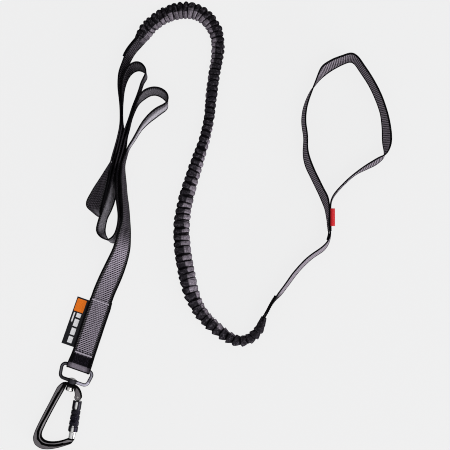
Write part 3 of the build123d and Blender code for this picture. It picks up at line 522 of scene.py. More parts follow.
hand = np.array(HANDLE_EDGES)
hand_top = np.stack([hand[:, 0], hand[:, 1], np.minimum(hand[:, 2] + 0.6, 25.0)], 1)
hand_low = np.stack([hand[:, 3], hand[:, 4], np.full(len(hand), 0.9)], 1)
hand_top, hand_low = lead(hand_top, LEAD), lead(hand_low, LEAD)
h_c, h_a, h_n, h_t, h_s = frames_of(hand_top, hand_low, 0.8, 2.2)
hand_strap = strap("hand_strap", h_c, h_a, h_n, h_s)


GAP_UP = 1.9
GAP_LOW = -1.74
JOIN_OUT, JOIN_IN = 151.3, 145.5
SLOT_ASIDE = -0.6
FLOOR_ALBEDO, FLOOR_EVEN = 0.82, 0.94
SKY_FROM, SKY_DARK, SKY_BRIGHT = (0.25, -0.20, 0.95), 0.10, 0.635
# name, azimuth, elevation, distance, size, watts
LAMPS = [
    ("low_right", -42.0, 12.0, 2.4, (1.6, 0.5), 45.0),
    ("over_right", -30.0, 58.0, 2.3, (1.3, 0.9), 9.0),
    ("left_high", 150.0, 48.0, 2.3, (1.5, 1.0), 2.0),
    ("top_right", 55.0, 50.0, 2.3, (1.3, 0.9), 2.0),
]

# ------------------------------------------------------------------ shader arithmetic
class X:
    """A shader value that arithmetic can be written on."""

    def __init__(self, tree, socket):
        self.tree, self.socket = tree, socket

    def op(self, kind, *others, clamp=False):
        node = self.tree.nodes.new("ShaderNodeMath")
        node.operation, node.use_clamp = kind, clamp
        for slot, value in zip(node.inputs, (self, *others)):
            if isinstance(value, X):
                self.tree.links.new(value.socket, slot)
            else:
                slot.default_value = float(value)
        return X(self.tree, node.outputs[0])

    def __add__(self, o): return self.op("ADD", o)
    def __radd__(self, o): return self.op("ADD", o)
    def __sub__(self, o): return self.op("SUBTRACT", o)
    def __rsub__(self, o): return (self * -1.0) + o
    def __mul__(self, o): return self.op("MULTIPLY", o)
    def __rmul__(self, o): return self.op("MULTIPLY", o)
    def __truediv__(self, o): return self.op("DIVIDE", o)
    def sin(self): return self.op("SINE")
    def cos(self): return self.op("COSINE")
    def frac(self): return self.op("FRACT")
    def floor(self): return self.op("FLOOR")
    def abs(self): return self.op("ABSOLUTE")
    def pow(self, o): return self.op("POWER", o)
    def min(self, o): return self.op("MINIMUM", o)
    def max(self, o): return self.op("MAXIMUM", o)
    def hypot(self, o): return (self * self + o * o).op("SQRT")

    def step(self, lo, hi):
        """0 below lo to 1 above hi, smoothly."""
        node = self.tree.nodes.new("ShaderNodeMapRange")
        node.interpolation_type = "SMOOTHSTEP"
        self.tree.links.new(self.socket, node.inputs["Value"])
        node.inputs["From Min"].default_value, node.inputs["From Max"].default_value = lo, hi
        return X(self.tree, node.outputs["Result"])


class Finish:
    """One material: a Principled shader and the maps it reads."""

    def __init__(self, name, **uniform):
        self.mat = bpy.data.materials.new(name)
        self.mat.use_nodes = True
        self.tree = self.mat.node_tree
        self.shader = self.tree.nodes["Principled BSDF"]
        for key, value in uniform.items():
            slot = self.shader.inputs[key.replace("_", " ")]
            slot.default_value = (*value, 1.0) if isinstance(value, tuple) and len(value) == 3 else value
        self.diffuse = uniform.get("Base_Color")

    def node(self, kind, **props):
        n = self.tree.nodes.new(kind)
        for key, value in props.items():
            setattr(n, key, value)
        return n

    def uv(self):
        n = self.node("ShaderNodeUVMap", uv_map="weave")
        s = self.node("ShaderNodeSeparateXYZ")
        self.tree.links.new(n.outputs[0], s.inputs[0])
        return X(self.tree, s.outputs[0]), X(self.tree, s.outputs[1])

    def attribute(self, name):
        n = self.node("ShaderNodeAttribute", attribute_name=name)
        return X(self.tree, n.outputs["Fac"])

    def place(self):
        n = self.node("ShaderNodeTexCoord")
        return n.outputs["Object"]

    def place_xyz(self):
        s = self.node("ShaderNodeSeparateXYZ")
        self.tree.links.new(self.place(), s.inputs[0])
        return [X(self.tree, s.outputs[k]) for k in range(3)]

    def vector(self, x, y, z=0.0):
        n = self.node("ShaderNodeCombineXYZ")
        for slot, value in zip(n.inputs, (x, y, z)):
            if isinstance(value, X):
                self.tree.links.new(value.socket, slot)
            else:
                slot.default_value = value
        return n.outputs[0]

    def noise(self, where, scale, detail=2.0, rough=0.5):
        n = self.node("ShaderNodeTexNoise")
        n.inputs["Scale"].default_value, n.inputs["Detail"].default_value, n.inputs["Roughness"].default_value = scale, detail, rough
        self.tree.links.new(where, n.inputs["Vector"])
        return X(self.tree, n.outputs["Fac"])

    def mix(self, share, a, b):
        """A colour between a and b; each is a colour or the result of another mix."""
        n = self.node("ShaderNodeMix", data_type="RGBA")
        self.tree.links.new(share.socket, n.inputs["Factor"])
        for slot, value in ((n.inputs[6], a), (n.inputs[7], b)):
            if isinstance(value, tuple):
                slot.default_value = (*value, 1.0)
            else:
                self.tree.links.new(value, slot)
        return n.outputs[2]

    def colour(self, socket):
        self.tree.links.new(socket, self.shader.inputs["Base Color"])

    def rough(self, value):
        self.tree.links.new(value.socket, self.shader.inputs["Roughness"])

    def bump(self, height, distance, strength=1.0):
        n = self.node("ShaderNodeBump")
        n.inputs["Strength"].default_value, n.inputs["Distance"].default_value = strength, distance
        self.tree.links.new(height.socket, n.inputs["Height"])
        self.tree.links.new(n.outputs[0], self.shader.inputs["Normal"])


TAU = 2 * math.pi
BLACK = (0.0048, 0.0044, 0.0053)
DARK = (0.007, 0.006, 0.008)
LAVENDER = (0.540, 0.476, 0.580)
DIM_LOW, DIM_HIGH = (0.007, 0.0062, 0.0078), (0.125, 0.110, 0.132)
ROW, REPEAT, SHIFT = 2.25, 2.93, 0.90  # the weave's picks along and across the tape, in mm


TIPS = ((112.0, 176.0), (316.0, 356.0), (516.0, 574.0), (770.0, 812.0), (985.0, 1004.0))  # where the edges stand packed together


def webbing(name, plain=None, dim=None, light=LAVENDER, lit=(), smooth=None, dark_start=None):
    """Woven tape: grey-purple zigzag face between black selvedges. plain marks smooth stretches along it."""
    f = Finish(name, Roughness=0.6, Specular_IOR_Level=0.0)
    u, v = f.uv()
    fuzz = f.noise(f.vector(u, v), 0.8, 3.0, 0.6)
    blot = f.noise(f.vector(u * 0.5, v * 0.12), 0.35, 2.0)
    pick = v / ROW + (fuzz - 0.5) * 0.16
    row = pick.floor()
    q = ((u + row * SHIFT + (blot - 0.5) * 0.8) / REPEAT + 0.5).frac() - 0.5
    d = pick.frac() - 0.5
    away = (q * (REPEAT / 1.42)).hypot((d + q * 0.14) * (ROW / 0.86))
    dash = away.step(0.56, 1.06)
    gleam = (d.abs() * 2.0).step(0.45, 0.95) * (1.0 - (q.abs() * 2.0).step(0.3, 0.95))
    ribs = ((u * (TAU / 0.62)).sin() * 0.5 + 0.5) * ((v * (TAU / 0.9) + u * 1.3).sin() * 0.5 + 0.5)
    edge = u.abs() + ((v * (TAU / 1.55)).sin()) * 0.14 + (fuzz - 0.5) * 0.3
    border = edge.step(*((8.05, 8.55) if dim is not None else (8.9, 9.3)))
    tone = (dash * (0.26 + fuzz * 0.26) + gleam * 0.62 + ribs * 0.04 + (blot - 0.5) * 0.24).max(0.0).min(1.0)
    # painted light: before the smooth stretch the face is drawn even and pale, a painted sheen
    if smooth is not None:
        even = (1.0 - v.step(*smooth)) * 0.7
        tone = tone * (1.0 - even) + even * 0.66
    # the face fades to dark towards the tape's start, before this stretch
    if dark_start is not None:
        tone = tone * v.step(*dark_start)
    face = f.mix(tone, DARK, light)
    if dim is not None:
        # painted shade: up to the dim stretch the tape's weave is drawn darker and calmer, a shaded copy of the face on
        # the flat sewn end
        dots = ((u * (TAU / 2.5) + v * 0.9).sin() * 0.5 + 0.5) * ((v * (TAU / 2.3) + u * 0.35).sin() * 0.5 + 0.5)
        shaded_weave = f.mix((dots * 1.05 + fuzz * 0.35 - 0.14 + (blot - 0.5) * 0.5).max(0.0).min(1.0), DIM_LOW, DIM_HIGH)
        # painted light: each listed stretch along the tape is lightened towards pale lilac, less towards one edge
        for start, end, gain, dim_from, dim_to in lit:
            share = (v.step(start, start + 12.0) * (1.0 - v.step(end - 12.0, end))) * gain * (1.0 - u.step(dim_from, dim_to) * 0.85)
            shaded_weave = f.mix(share * (0.45 + fuzz * 0.7 + dots * 0.2), shaded_weave, (0.62, 0.59, 0.66))
        face = f.mix(v.step(dim[0], dim[1]), shaded_weave, face)
    specks = (((v * (TAU / ROW)).sin() * 0.5 + 0.5) * 0.5 + fuzz * 0.75).step(0.45, 0.95)
    rim = f.mix(specks * (1.0 - edge.step(9.9, 10.8)), BLACK, (0.105, 0.098, 0.108) if dim is not None else (0.030, 0.028, 0.031))
    if dim is not None:
        # painted light: where the strands stand packed together the outermost rim is drawn lighter, standing in for the
        # lit faces between them
        packed_rim_light = None
        for start, end in TIPS:
            here = v.step(start, start + 8.0) * (1.0 - v.step(end - 8.0, end))
            packed_rim_light = here if packed_rim_light is None else packed_rim_light.max(here)
        rim = f.mix(packed_rim_light * edge.step(11.6, 12.1) * (fuzz * 1.3).min(1.0), rim, (0.034, 0.030, 0.036))
    if plain is not None:
        black_from, black_to, grey_to = plain
        rim = f.mix(v.step(black_from - 4.0, black_from), rim, BLACK)
        black = v.step(black_from - 0.6, black_from + 0.4) * (1.0 - v.step(black_to - 1.0, black_to + 1.5))
        bar = v.step(black_to - 0.5, black_to + 1.0) * (1.0 - v.step(grey_to - 0.8, grey_to + 0.8))
        # painted shade: past grey_to the tape is drawn near black, for the fold's turned-down end and underside
        underside_shade = v.step(grey_to - 0.8, grey_to + 0.8)
        flat = f.mix((ribs * 0.4 + fuzz * 0.6).step(0.2, 1.0), (0.18, 0.158, 0.192), (0.34, 0.300, 0.362))
        flat = f.mix(u.abs().step(6.0, 11.5), flat, (0.045, 0.039, 0.049))
        face = f.mix(bar, face, flat)
        border = border * (1.0 - bar) + edge.step(11.3, 11.8) * bar
        streak = f.noise(f.vector(u * 1.6, v * 0.25), 0.9, 2.0, 0.5).step(0.45, 0.75)
        pitch_dark = f.mix(streak, (0.0065, 0.0058, 0.0075), (0.030, 0.024, 0.038))
        face = f.mix((black + underside_shade).min(1.0), face, pitch_dark)
    f.colour(f.mix(border, face, rim))
    height = (dash * 0.55 + ribs * 0.5) * (1.0 - border) + border * (((v * (TAU / 1.55)).sin() * 0.5 + 0.5) * 0.5 + ribs * 0.4)
    f.bump(height, 0.00028, 0.9)
    return f.mat


def sheath():
    """The ruched sleeve: one half grey, the other black, with painted shade down in each crease and painted light and
    shade along each fold.
    """
    f = Finish("bungee_sheath", Roughness=0.65, Specular_IOR_Level=0.0)
    u, v = f.uv()
    facing, crease_shade, fold_light, rag = (f.attribute(k) for k in ("facing", "crease_shade", "fold_light", "edge"))
    fuzz = f.noise(f.vector(u, v), 0.7, 3.0, 0.6)
    lines = ((u * (TAU / 1.3) + (v * 1.1).sin() * 0.4).sin() * 0.5 + 0.5)
    cross = ((v * (TAU / 0.85) + (fold_light * 6.0)).sin() * 0.5 + 0.5)
    coarse = f.noise(f.vector(u, v), 0.36, 2.0, 0.6)
    turn = facing + (fuzz - 0.5) * 0.12 + (rag - 0.5) * 0.36
    grey = 1.0 - turn.step(0.455, 0.505)
    # painted light and shade: the grey half's tone follows each fold's painted light
    tone = (fold_light * (0.60 + (fuzz - 0.5) * 1.3 + (coarse - 0.5) * 1.5) + lines * 0.06).max(0.0).min(1.0)
    light = f.mix(tone, (0.006, 0.005, 0.007), (0.350, 0.306, 0.365))
    fleck = ((coarse - 0.50) * 3.2 + (fuzz - 0.5) * 1.2 + (fold_light - 0.75) * 0.35).max(0.0).min(1.0)
    # painted shade: the black half is drawn darker where ground is low
    shaded_black = f.mix(f.attribute("ground"), (0.0088, 0.0078, 0.0096), (0.0185, 0.0165, 0.0205))
    black = f.mix(fleck, shaded_black, (0.095, 0.085, 0.103))
    both = f.mix(grey, black, light)
    # painted shade: the colour goes near black down in each crease
    f.colour(f.mix((crease_shade * 0.97).min(1.0), both, (0.0035, 0.0030, 0.0040)))
    f.bump(lines * 0.4 + cross * 0.3 + fuzz * 0.5 + coarse * (1.6 - grey * 0.8), 0.00050, 0.9)
    return f.mat


def rubber():
    f = Finish("elastic_strands", Roughness=0.6, Specular_IOR_Level=0.4)
    u, v = f.uv()
    strand = ((u * (TAU / 2.0)).sin() * 0.5 + 0.5)
    f.colour(f.mix(strand, (0.02, 0.02, 0.022), (0.22, 0.21, 0.20)))
    f.bump(strand, 0.0003, 0.8)
    return f.mat


def thread(name, dark, light):
    f = Finish(name, Roughness=0.55, Sheen_Weight=0.03, Sheen_Roughness=0.3, Specular_IOR_Level=0.25)
    n = f.noise(f.place(), 2600.0, 2.0)
    f.colour(f.mix(n.step(0.3, 0.7), dark, light))
    f.bump(n, 0.0001, 0.7)
    return f.mat


def cloth_tape(name, dark, light, across, along, edge=None):
    """A plain woven tape: fine ribs across, slightly uneven dye."""
    f = Finish(name, Roughness=0.6, Sheen_Weight=0.04, Sheen_Roughness=0.35, Specular_IOR_Level=0.2)
    u, v = f.uv()
    fuzz = f.noise(f.vector(u, v), 0.9, 3.0)
    rib = ((v * (TAU / along)).sin() * 0.5 + 0.5) * 0.6 + ((u * (TAU / across)).sin() * 0.5 + 0.5) * 0.4
    tone = (rib * 0.55 + fuzz * 0.5).max(0.0).min(1.0)
    base = f.mix(tone, dark, light)
    if edge is not None:
        base = f.mix(u.abs().step(edge[0], edge[0] + 0.5), base, edge[1])
    f.colour(base)
    f.bump(rib + fuzz * 0.4, 0.00016, 0.8)
    return f.mat


def label_cloth():
    """Black satin tape with a plain orange block at one end and plain pale bars below it."""
    f = Finish("label_cloth", Roughness=0.5, Sheen_Weight=0.02, Sheen_Roughness=0.3, Specular_IOR_Level=0.12)
    u, v = f.uv()
    fuzz = f.noise(f.vector(u, v), 1.1, 3.0)
    rib = ((v * (TAU / 0.45)).sin() * 0.5 + 0.5) * 0.5 + ((u * (TAU / 0.5)).sin() * 0.5 + 0.5) * 0.5
    wob = (fuzz - 0.5) * 0.25

    def block(u0, u1, v0, v1, soft=0.22):
        return (u + wob).step(u0, u0 + soft) * (1.0 - (u + wob).step(u1 - soft, u1)) * (v + wob).step(v0, v0 + soft) * (1.0 - (v + wob).step(v1 - soft, v1))

    orange = block(*LABEL_ORANGE)
    pale = block(*LABEL_BARS[0])
    for bar in LABEL_BARS[1:]:
        pale = pale.max(block(*bar))
    ground = f.mix((rib * 0.5 + fuzz * 0.5).step(0.2, 0.9), (0.006, 0.006, 0.008), (0.016, 0.016, 0.020))
    ground = f.mix(pale, ground, (0.80, 0.80, 0.82))
    f.colour(f.mix(orange * (0.86 + fuzz * 0.14), ground, (0.93, 0.205, 0.012)))
    f.bump(rib * (0.6 + orange * 0.5 + pale * 0.5) + fuzz * 0.3, 0.00012, 0.8)
    return f.mat


def metal(name, base, spread, rough, scratch=0.06, grain=900.0, anis=0.0, coat=0.0):
    f = Finish(name, Metallic=1.0, Anisotropic=anis, Coat_Weight=coat, Coat_Roughness=0.2)
    x, y, z = f.place_xyz()
    long_way = f.vector(x * 0.2, y * 1.0, z * 1.0)
    n = f.noise(long_way, grain, 3.0, 0.6)
    blot = f.noise(f.place(), 120.0, 3.0)
    a = tuple(max(c - spread, 0) for c in base)
    b = tuple(c + spread for c in base)
    f.colour(f.mix((n * 0.6 + blot * 0.4).step(0.3, 0.7), a, b))
    f.rough((n - 0.5) * scratch * 2 + (blot - 0.5) * scratch + rough)
    f.bump(n, 0.00003, 0.5)
    return f.mat


GROOVE = [(15.0, -11.0), (25.0, -12.9), (42.0, -15.6), (57.6, -17.6), (70.0, -18.3), (77.6, -15.8), (81.6, -9.0), (81.0, -1.2), (78.0, 7.6), (73.2, 15.6)]


def forged():
    """Anodised grey body: hatched faces, a lighter inner rim, and painted near-black shade in the groove, on the rims
    and walls and in the throat.
    """
    f = Finish("gunmetal", Metallic=0.55, Specular_IOR_Level=0.4)
    x, y, z = f.place_xyz()
    x, y, z = x * 1000.0 - float(O[0]), y * 1000.0 - float(O[1]), z * 1000.0
    u = x * float(U[0]) + y * float(U[1])
    v = x * float(V[0]) + y * float(V[1])
    inside = None  # distance beyond the groove's line, negative on the inner side
    for (u0, v0), (u1, v1) in zip(GROOVE, GROOVE[1:]):
        n = math.hypot(u1 - u0, v1 - v0)
        nu, nv = (v1 - v0) / n, (u0 - u1) / n
        side = (u - u0) * nu + (v - v0) * nv
        inside = side if inside is None else inside.max(side)
    inside = inside - (u.step(42.0, 68.0) * 1.55 - 0.6)
    reach = inside.abs() - 1.25
    inner = (1.0 - (inside + 1.25).step(-0.5, 0.1)) * u.step(14.0, 26.0)
    bend = u.step(60.0, 72.0)
    groove_shade = 1.0 - reach.step(-0.2, 0.25)
    throat_shade = (1.0 - u.step(7.0, 14.0)) * (1.0 - v.abs().step(7.2, 9.0))
    lines = ((x * 0.62 + y * 0.78) * (TAU / 1.9)).sin() * 0.5 + 0.5
    n = f.noise(f.vector(x, y, z), 0.9, 3.0, 0.6)
    mottle = f.noise(f.vector(x, y, z), 0.16, 2.0, 0.5)
    tone = (lines * 0.26 + n * 0.45 + mottle * 0.35).max(0.0).min(1.0)
    top = f.mix(tone, (0.078, 0.072, 0.078), (0.200, 0.186, 0.198))
    rim = f.mix(n, (0.20, 0.19, 0.20), (0.38, 0.36, 0.38))
    rim = f.mix(bend, rim, f.mix(n, (0.12, 0.112, 0.12), (0.27, 0.255, 0.27)))
    top = f.mix(inner, top, rim)
    # painted shade: only the flat top and bottom faces keep their colour; the groove, walls and throat are drawn near
    # black, with their reflections turned down
    low = (z - 5.5).abs().step(5.40, 5.499) * (1.0 - groove_shade) * (1.0 - throat_shade)
    f.colour(f.mix(low, (0.004, 0.0038, 0.004), top))
    f.tree.links.new((low * 0.4).socket, f.shader.inputs["Specular IOR Level"])
    f.tree.links.new((low * 0.55).socket, f.shader.inputs["Metallic"])
    f.rough((n - 0.5) * 0.12 + 0.46)
    f.bump(n * 0.6 + lines * 0.4, 0.00005, 0.6)
    return f.mat


def eye_steel():
    """Dark forged steel with a painted highlight along the top of the bar."""
    f = Finish("eye_steel", Metallic=0.2, Roughness=0.45, Specular_IOR_Level=0.08)
    eye_highlight = f.attribute("eye_highlight")
    n = f.noise(f.place(), 700.0, 3.0, 0.6)
    f.colour(f.mix((eye_highlight * (0.75 + n * 0.5)).max(0.0).min(1.0), (0.006, 0.006, 0.008), (0.52, 0.50, 0.60)))
    f.bump(n, 0.00003, 0.5)
    return f.mat


def barrel():
    """Bare aluminium with the long streaks of a turned round bar, and painted reflections across it: dark edges and two
    pale stripes.
    """
    f = Finish("bare_aluminium", Metallic=0.85)
    x, y, z = f.place_xyz()
    x, y = x * 1000.0 - float(PIVOT[0]), y * 1000.0 - float(PIVOT[1])
    s = x * float(GATE_X[0]) + y * float(GATE_X[1])
    w = x * float(GATE_Y[0]) + y * float(GATE_Y[1])
    n = f.noise(f.vector(s * 0.2, w, z * 1000.0), 1.2, 3.0, 0.6)
    across = w + (n - 0.5) * 0.5
    # painted reflections: dark along both edges of the gate and pale in two stripes along it
    shade = (across + 3.6).step(-0.5, 0.5) * (1.0 - (across - 0.9).step(-0.4, 0.4)) + (across - 2.1).step(-0.4, 0.4) * (1.0 - (across - 3.8).step(-0.4, 0.4)) * 0.8
    tone = (shade * (0.86 + n * 0.2)).max(0.0).min(1.0)
    f.colour(f.mix(tone, (0.055, 0.055, 0.058), (0.90, 0.90, 0.90)))
    f.rough((n - 0.5) * 0.10 + 0.34)
    f.bump(n, 0.00003, 0.4)
    return f.mat


def hard_plastic(name, base, rough):
    f = Finish(name, Roughness=rough, Specular_IOR_Level=0.5)
    n = f.noise(f.place(), 1500.0, 2.0)
    f.colour(f.mix(n, tuple(c * 0.7 for c in base), tuple(c * 1.3 for c in base)))
    f.rough(n * 0.15 + (rough - 0.07))
    f.bump(n, 0.00004, 0.5)
    return f.mat


# label artwork in its own millimetres: u from -11.5 (outer edge) to 11.5, v along from -30.7 to 30.7
LABEL_ORANGE = (-10.4, 1.6, -29.0, -12.6)
LABEL_BARS = [(-9.4, -7.4, -11.0, 1.5), (-5.4, 0.6, -11.2, -5.6), (-5.4, 0.6, -3.6, 6.0), (-5.4, 0.6, 8.0, 17.0), (-5.4, 0.6, 19.0, 27.5)]

STITCH_A = END_FROM + (-107.0 + 108.0)
PLAIN = (END_FROM + 71.6, END_FROM + 84.6, END_FROM + 90.2)
MAT = {
    # main tape: painted shade up to the sewn end, with six listed stretches of painted light
    "webbing": webbing("webbing_main", PLAIN, (END_FROM - 95.0, END_FROM - 62.0), LAVENDER, ((846.0, 902.0, 0.46, 4.0, 9.0), (898.0, 985.0, 0.70, -3.0, 6.0), (424.0, 470.0, 0.16, 4.0, 9.0), (588.0, 660.0, 0.60, 4.0, 9.0), (655.0, 708.0, 1.25, -2.0, 6.0), (222.0, 254.0, 0.34, 2.0, -6.0))),
    # handle: a painted pale sheen on its first stretch, and its face darker towards its very start
    "handle": webbing("webbing_hand", light=(0.40, 0.352, 0.413), smooth=(118.0, 150.0), dark_start=(32.0, 44.0)),
    "sheath": sheath(),
    "rubber": rubber(),
    "thread": thread("thread_black", (0.010, 0.009, 0.012), (0.045, 0.040, 0.050)),
    "thread_pale": thread("thread_pale", (0.34, 0.30, 0.36), (0.62, 0.57, 0.66)),
    "red": cloth_tape("red_tape", (0.33, 0.004, 0.008), (0.62, 0.012, 0.018), 0.9, 0.8),
    "label": label_cloth(),
    "steel": metal("polished_steel", (0.70, 0.69, 0.68), 0.05, 0.16, 0.04, 700.0, 0.3),
    "spring": metal("spring_steel", (0.50, 0.49, 0.48), 0.05, 0.28),
    "gunmetal": forged(),
    "dark_steel": metal("dark_steel", (0.105, 0.105, 0.125), 0.02, 0.30, 0.06, 900.0, 0.2),
    "aluminium": barrel(),
    "eye_steel": eye_steel(),
    "anodised": metal("anodised_sleeve", (0.016, 0.015, 0.021), 0.009, 0.32, 0.10, 1200.0),
    "washer": hard_plastic("washer_black", (0.02, 0.02, 0.022), 0.45),
}


def dress(ob, mat):
    ob.data.materials.clear()
    ob.data.materials.append(mat)
    return ob


dress(main_strap, MAT["webbing"])
dress(hand_strap, MAT["handle"])
dress(bungee, MAT["sheath"])
dress(core, MAT["rubber"])


# ------------------------------------------------------------------ flat pieces
def patch(name, centre, across, normal, at, width, thick, from_u=0.0):
    """A thin tape over frames in mm, with softly rounded edges."""
    x = np.array([-1, -0.985, -0.94, -0.5, 0, 0.5, 0.94, 0.985, 1, 0.985, 0.94, 0.5, 0, -0.5, -0.94, -0.985])
    y = np.array([0, 0.7, 1, 1, 1, 1, 1, 0.7, 0, -0.7, -1, -1, -1, -1, -1, -0.7])
    rings = centre[:, None] + across[:, None] * (x * width / 2)[None, :, None] + normal[:, None] * (y * thick / 2)[None, :, None]
    return skin(name, rings * MM, np.append(x, x[0]) * width / 2 + from_u, at)


# label: a tape folded in and sewn under the strap's edge
lab_s = np.linspace(-30.7, 30.7, 84)
lab_u = -73.3 + lab_s
lab_c = local(lab_u, -17.5, 2.35 + 0.25 * np.sin(lab_s / 9.0) * 0.5)
lab_a = unit(V + Z * 0.012)[None] * np.ones((len(lab_s), 1))
lab_t = np.repeat(U[None], len(lab_s), 0)
label = patch("label", lab_c, lab_a, np.cross(lab_t, lab_a), lab_s, 23.0, 0.75)
dress(label, MAT["label"])


def beside_strap(top_c, across, normal, at, lo, hi, gap, name, z_gap=0.0):
    pick = (at >= lo) & (at <= hi)
    return strap(name, top_c[pick] + normal[pick] * gap, across[pick], normal[pick], at[pick] + 41.0)


tab_up = beside_strap(all_c, all_a, all_n, all_s, 3.0, 31.0, GAP_UP, "splice_tab_upper")
tab_low = beside_strap(h_c, h_a, h_n, h_s, 3.0, 36.0, GAP_LOW, "splice_tab_lower")
for ob in (tab_up, tab_low):
    dress(ob, MAT["handle"])

# red tab: a folded tape over the loop's outer layer
tab_x, tab_y = 147.5, 0.1
red_line = [(0.35, 13.0), (0.35, 17.0), (0.35, 21.0), (0.35, 24.3), (0.75, 25.7), (1.9, 26.15), (3.2, 25.6), (4.2, 24.2), (5.1, 22.7), (6.0, 21.2)]
red_s0 = np.array(red_line)
red_k = lengths(red_s0)
red_at = np.linspace(0, red_k[-1], 40)
red_xz = spline(red_k, red_s0, red_at)
red_c = np.stack([tab_x + red_xz[:, 0], np.full(40, tab_y + 11.0), red_xz[:, 1]], 1)
red_t = unit(np.gradient(red_c, axis=0))
red_a = np.repeat(np.array([[0.0, 1.0, 0.0]]), 40, 0)
red = patch("red_tab_tape", red_c, red_a, np.cross(red_t, red_a), red_at, 21.8, 0.55)
dress(red, MAT["red"])


# ------------------------------------------------------------------ stitches
def stitches(name, ends, radius, mat, swell=0.35):
    """One mesh of thread bars; each item is (start, end, out) in mm: the thread rises along out between its ends."""
    verts, faces = [], []
    around, along_n = 6, 5
    for a, b, out in ends:
        a, b, out = (np.asarray(p, float) for p in (a, b, out))
        d = unit(b - a)
        out = unit(out - d * (out * d).sum())
        s = np.cross(d, out)
        base = len(verts)
        for i in range(along_n + 1):
            t = i / along_n
            r = radius * (0.45 + 0.55 * math.sin(math.pi * min(max(t, 0.06), 0.94)) ** 0.5)
            mid = a + (b - a) * t + out * (swell * radius * math.sin(math.pi * t))
            for j in range(around):
                w = TAU * j / around
                verts.append((mid + (out * math.cos(w) + s * math.sin(w)) * r) * MM)
        for i in range(along_n):
            for j in range(around):
                k = (j + 1) % around
                faces.append((base + i * around + j, base + i * around + k, base + (i + 1) * around + k, base + (i + 1) * around + j))
        faces.append(tuple(base + j for j in range(around))[::-1])
        faces.append(tuple(base + along_n * around + j for j in range(around)))
    ob = mesh_object(name, verts, faces)
    bm = bmesh.new()
    bm.from_mesh(ob.data)
    bmesh.ops.recalc_face_normals(bm, faces=bm.faces)
    bm.to_mesh(ob.data)
    bm.free()
    return dress(ob, mat)


def bar(u, v0, v1, z, count, length, skew, out):
    """A row of stitches across the strap at u."""
    rows = []
    for k in range(count):
        v = v0 + (v1 - v0) * (k + 0.5) / count + float(drift(u))
        rows.append((local(u - length / 2, v - skew, z), local(u + length / 2, v + skew, z), out))
    return rows


pale, dark_rows = [], []
for u in (-107.0, -38.6):
    pale += bar(u, -11.0, 11.0, 4.62, 34, 1.75, 0.30, Z)
    dark_rows += [(local(u - 2.7, v - 1.3, 4.9), local(u - 2.4, v + 1.3, 4.9), Z) for v in np.linspace(-8.6, 10.0, 5)]
    if u > -60:
        dark_rows += [(local(u + 1.6, v - 1.9, 4.62), local(u + 1.7, v + 1.9, 4.62), Z) for v in np.linspace(-8.8, 10.2, 5)]
    dark_rows += [(local(u, v - 0.8, -0.02), local(u, v + 0.8, -0.02), -Z) for v in np.linspace(-10.5, 10.5, 9)]
sewn_pale = stitches("sewn_bars", pale, 0.36, MAT["thread_pale"])
sewn_dark = stitches("sewn_dashes", dark_rows, 0.46, MAT["thread"])


def box_stitch(centre, across, normal, at, lo, hi, heights, faces, columns=(), length=2.0, pitch=2.7):
    """Stitches along a strap at heights across it, on the faces given as offsets along the normal, and rows up it at columns."""
    rows = []

    def spot(s, h, off):
        c = np.array([np.interp(s, at, centre[:, k]) for k in range(3)])
        a = unit(np.array([np.interp(s, at, across[:, k]) for k in range(3)]))
        n = unit(np.array([np.interp(s, at, normal[:, k]) for k in range(3)]))
        return c + a * h + n * off, n * (1 if off > 0 else -1)

    for off in faces:
        for h in heights:
            n = int((hi - lo) / pitch)
            for k in range(n):
                s = lo + pitch * (k + 0.5)
                p, o = spot(s - length / 2, h, off)
                q, _ = spot(s + length / 2, h, off)
                rows.append((p, q, o))
        for s in columns:
            for h in np.arange(heights[0] + 1.6, heights[-1] - 1.0, pitch):
                p, o = spot(s, h - length / 2, off)
                q, _ = spot(s, h + length / 2, off)
                rows.append((p, q, o))
    return rows


up_rows = box_stitch(all_c, all_a, all_n, all_s, 5.0, 29.0, (-8.4, 8.4), (-0.80 if GAP_UP > 0 else 0.80, GAP_UP + (0.80 if GAP_UP > 0 else -0.80)), (5.5, 28.5))
splice_up = stitches("splice_thread_upper", up_rows, 0.34, MAT["thread"])
low_rows = box_stitch(h_c, h_a, h_n, h_s, 5.0, 34.0, (-8.4, 8.4), (-0.80 if GAP_LOW > 0 else 0.80, GAP_LOW + (0.80 if GAP_LOW > 0 else -0.80)), (5.5, 33.5))
splice_low = stitches("splice_thread_lower", low_rows, 0.34, MAT["thread"])

loop_rows = []
for z in (4.0, 21.0):
    for k in range(7):
        y = -4.6 + 2.35 * k
        for x, o in ((JOIN_OUT - 0.096 * z, (1, 0, 0)), (JOIN_IN + 0.12 * max(0.0, 4.0 - y), (-1, 0, 0))):
            loop_rows.append(((x, y - 0.95, z), (x, y + 0.95, z), o))
for y in (-5.4, 10.5):
    for z in np.arange(6.0, 19.5, 2.6):
        for x, o in ((JOIN_OUT - 0.096 * z, (1, 0, 0)), (JOIN_IN + 0.12 * max(0.0, 4.0 - y), (-1, 0, 0))):
            loop_rows.append(((x, y, z - 0.9), (x, y, z + 0.9), o))
loop_thread = stitches("loop_thread", loop_rows, 0.34, MAT["thread"])

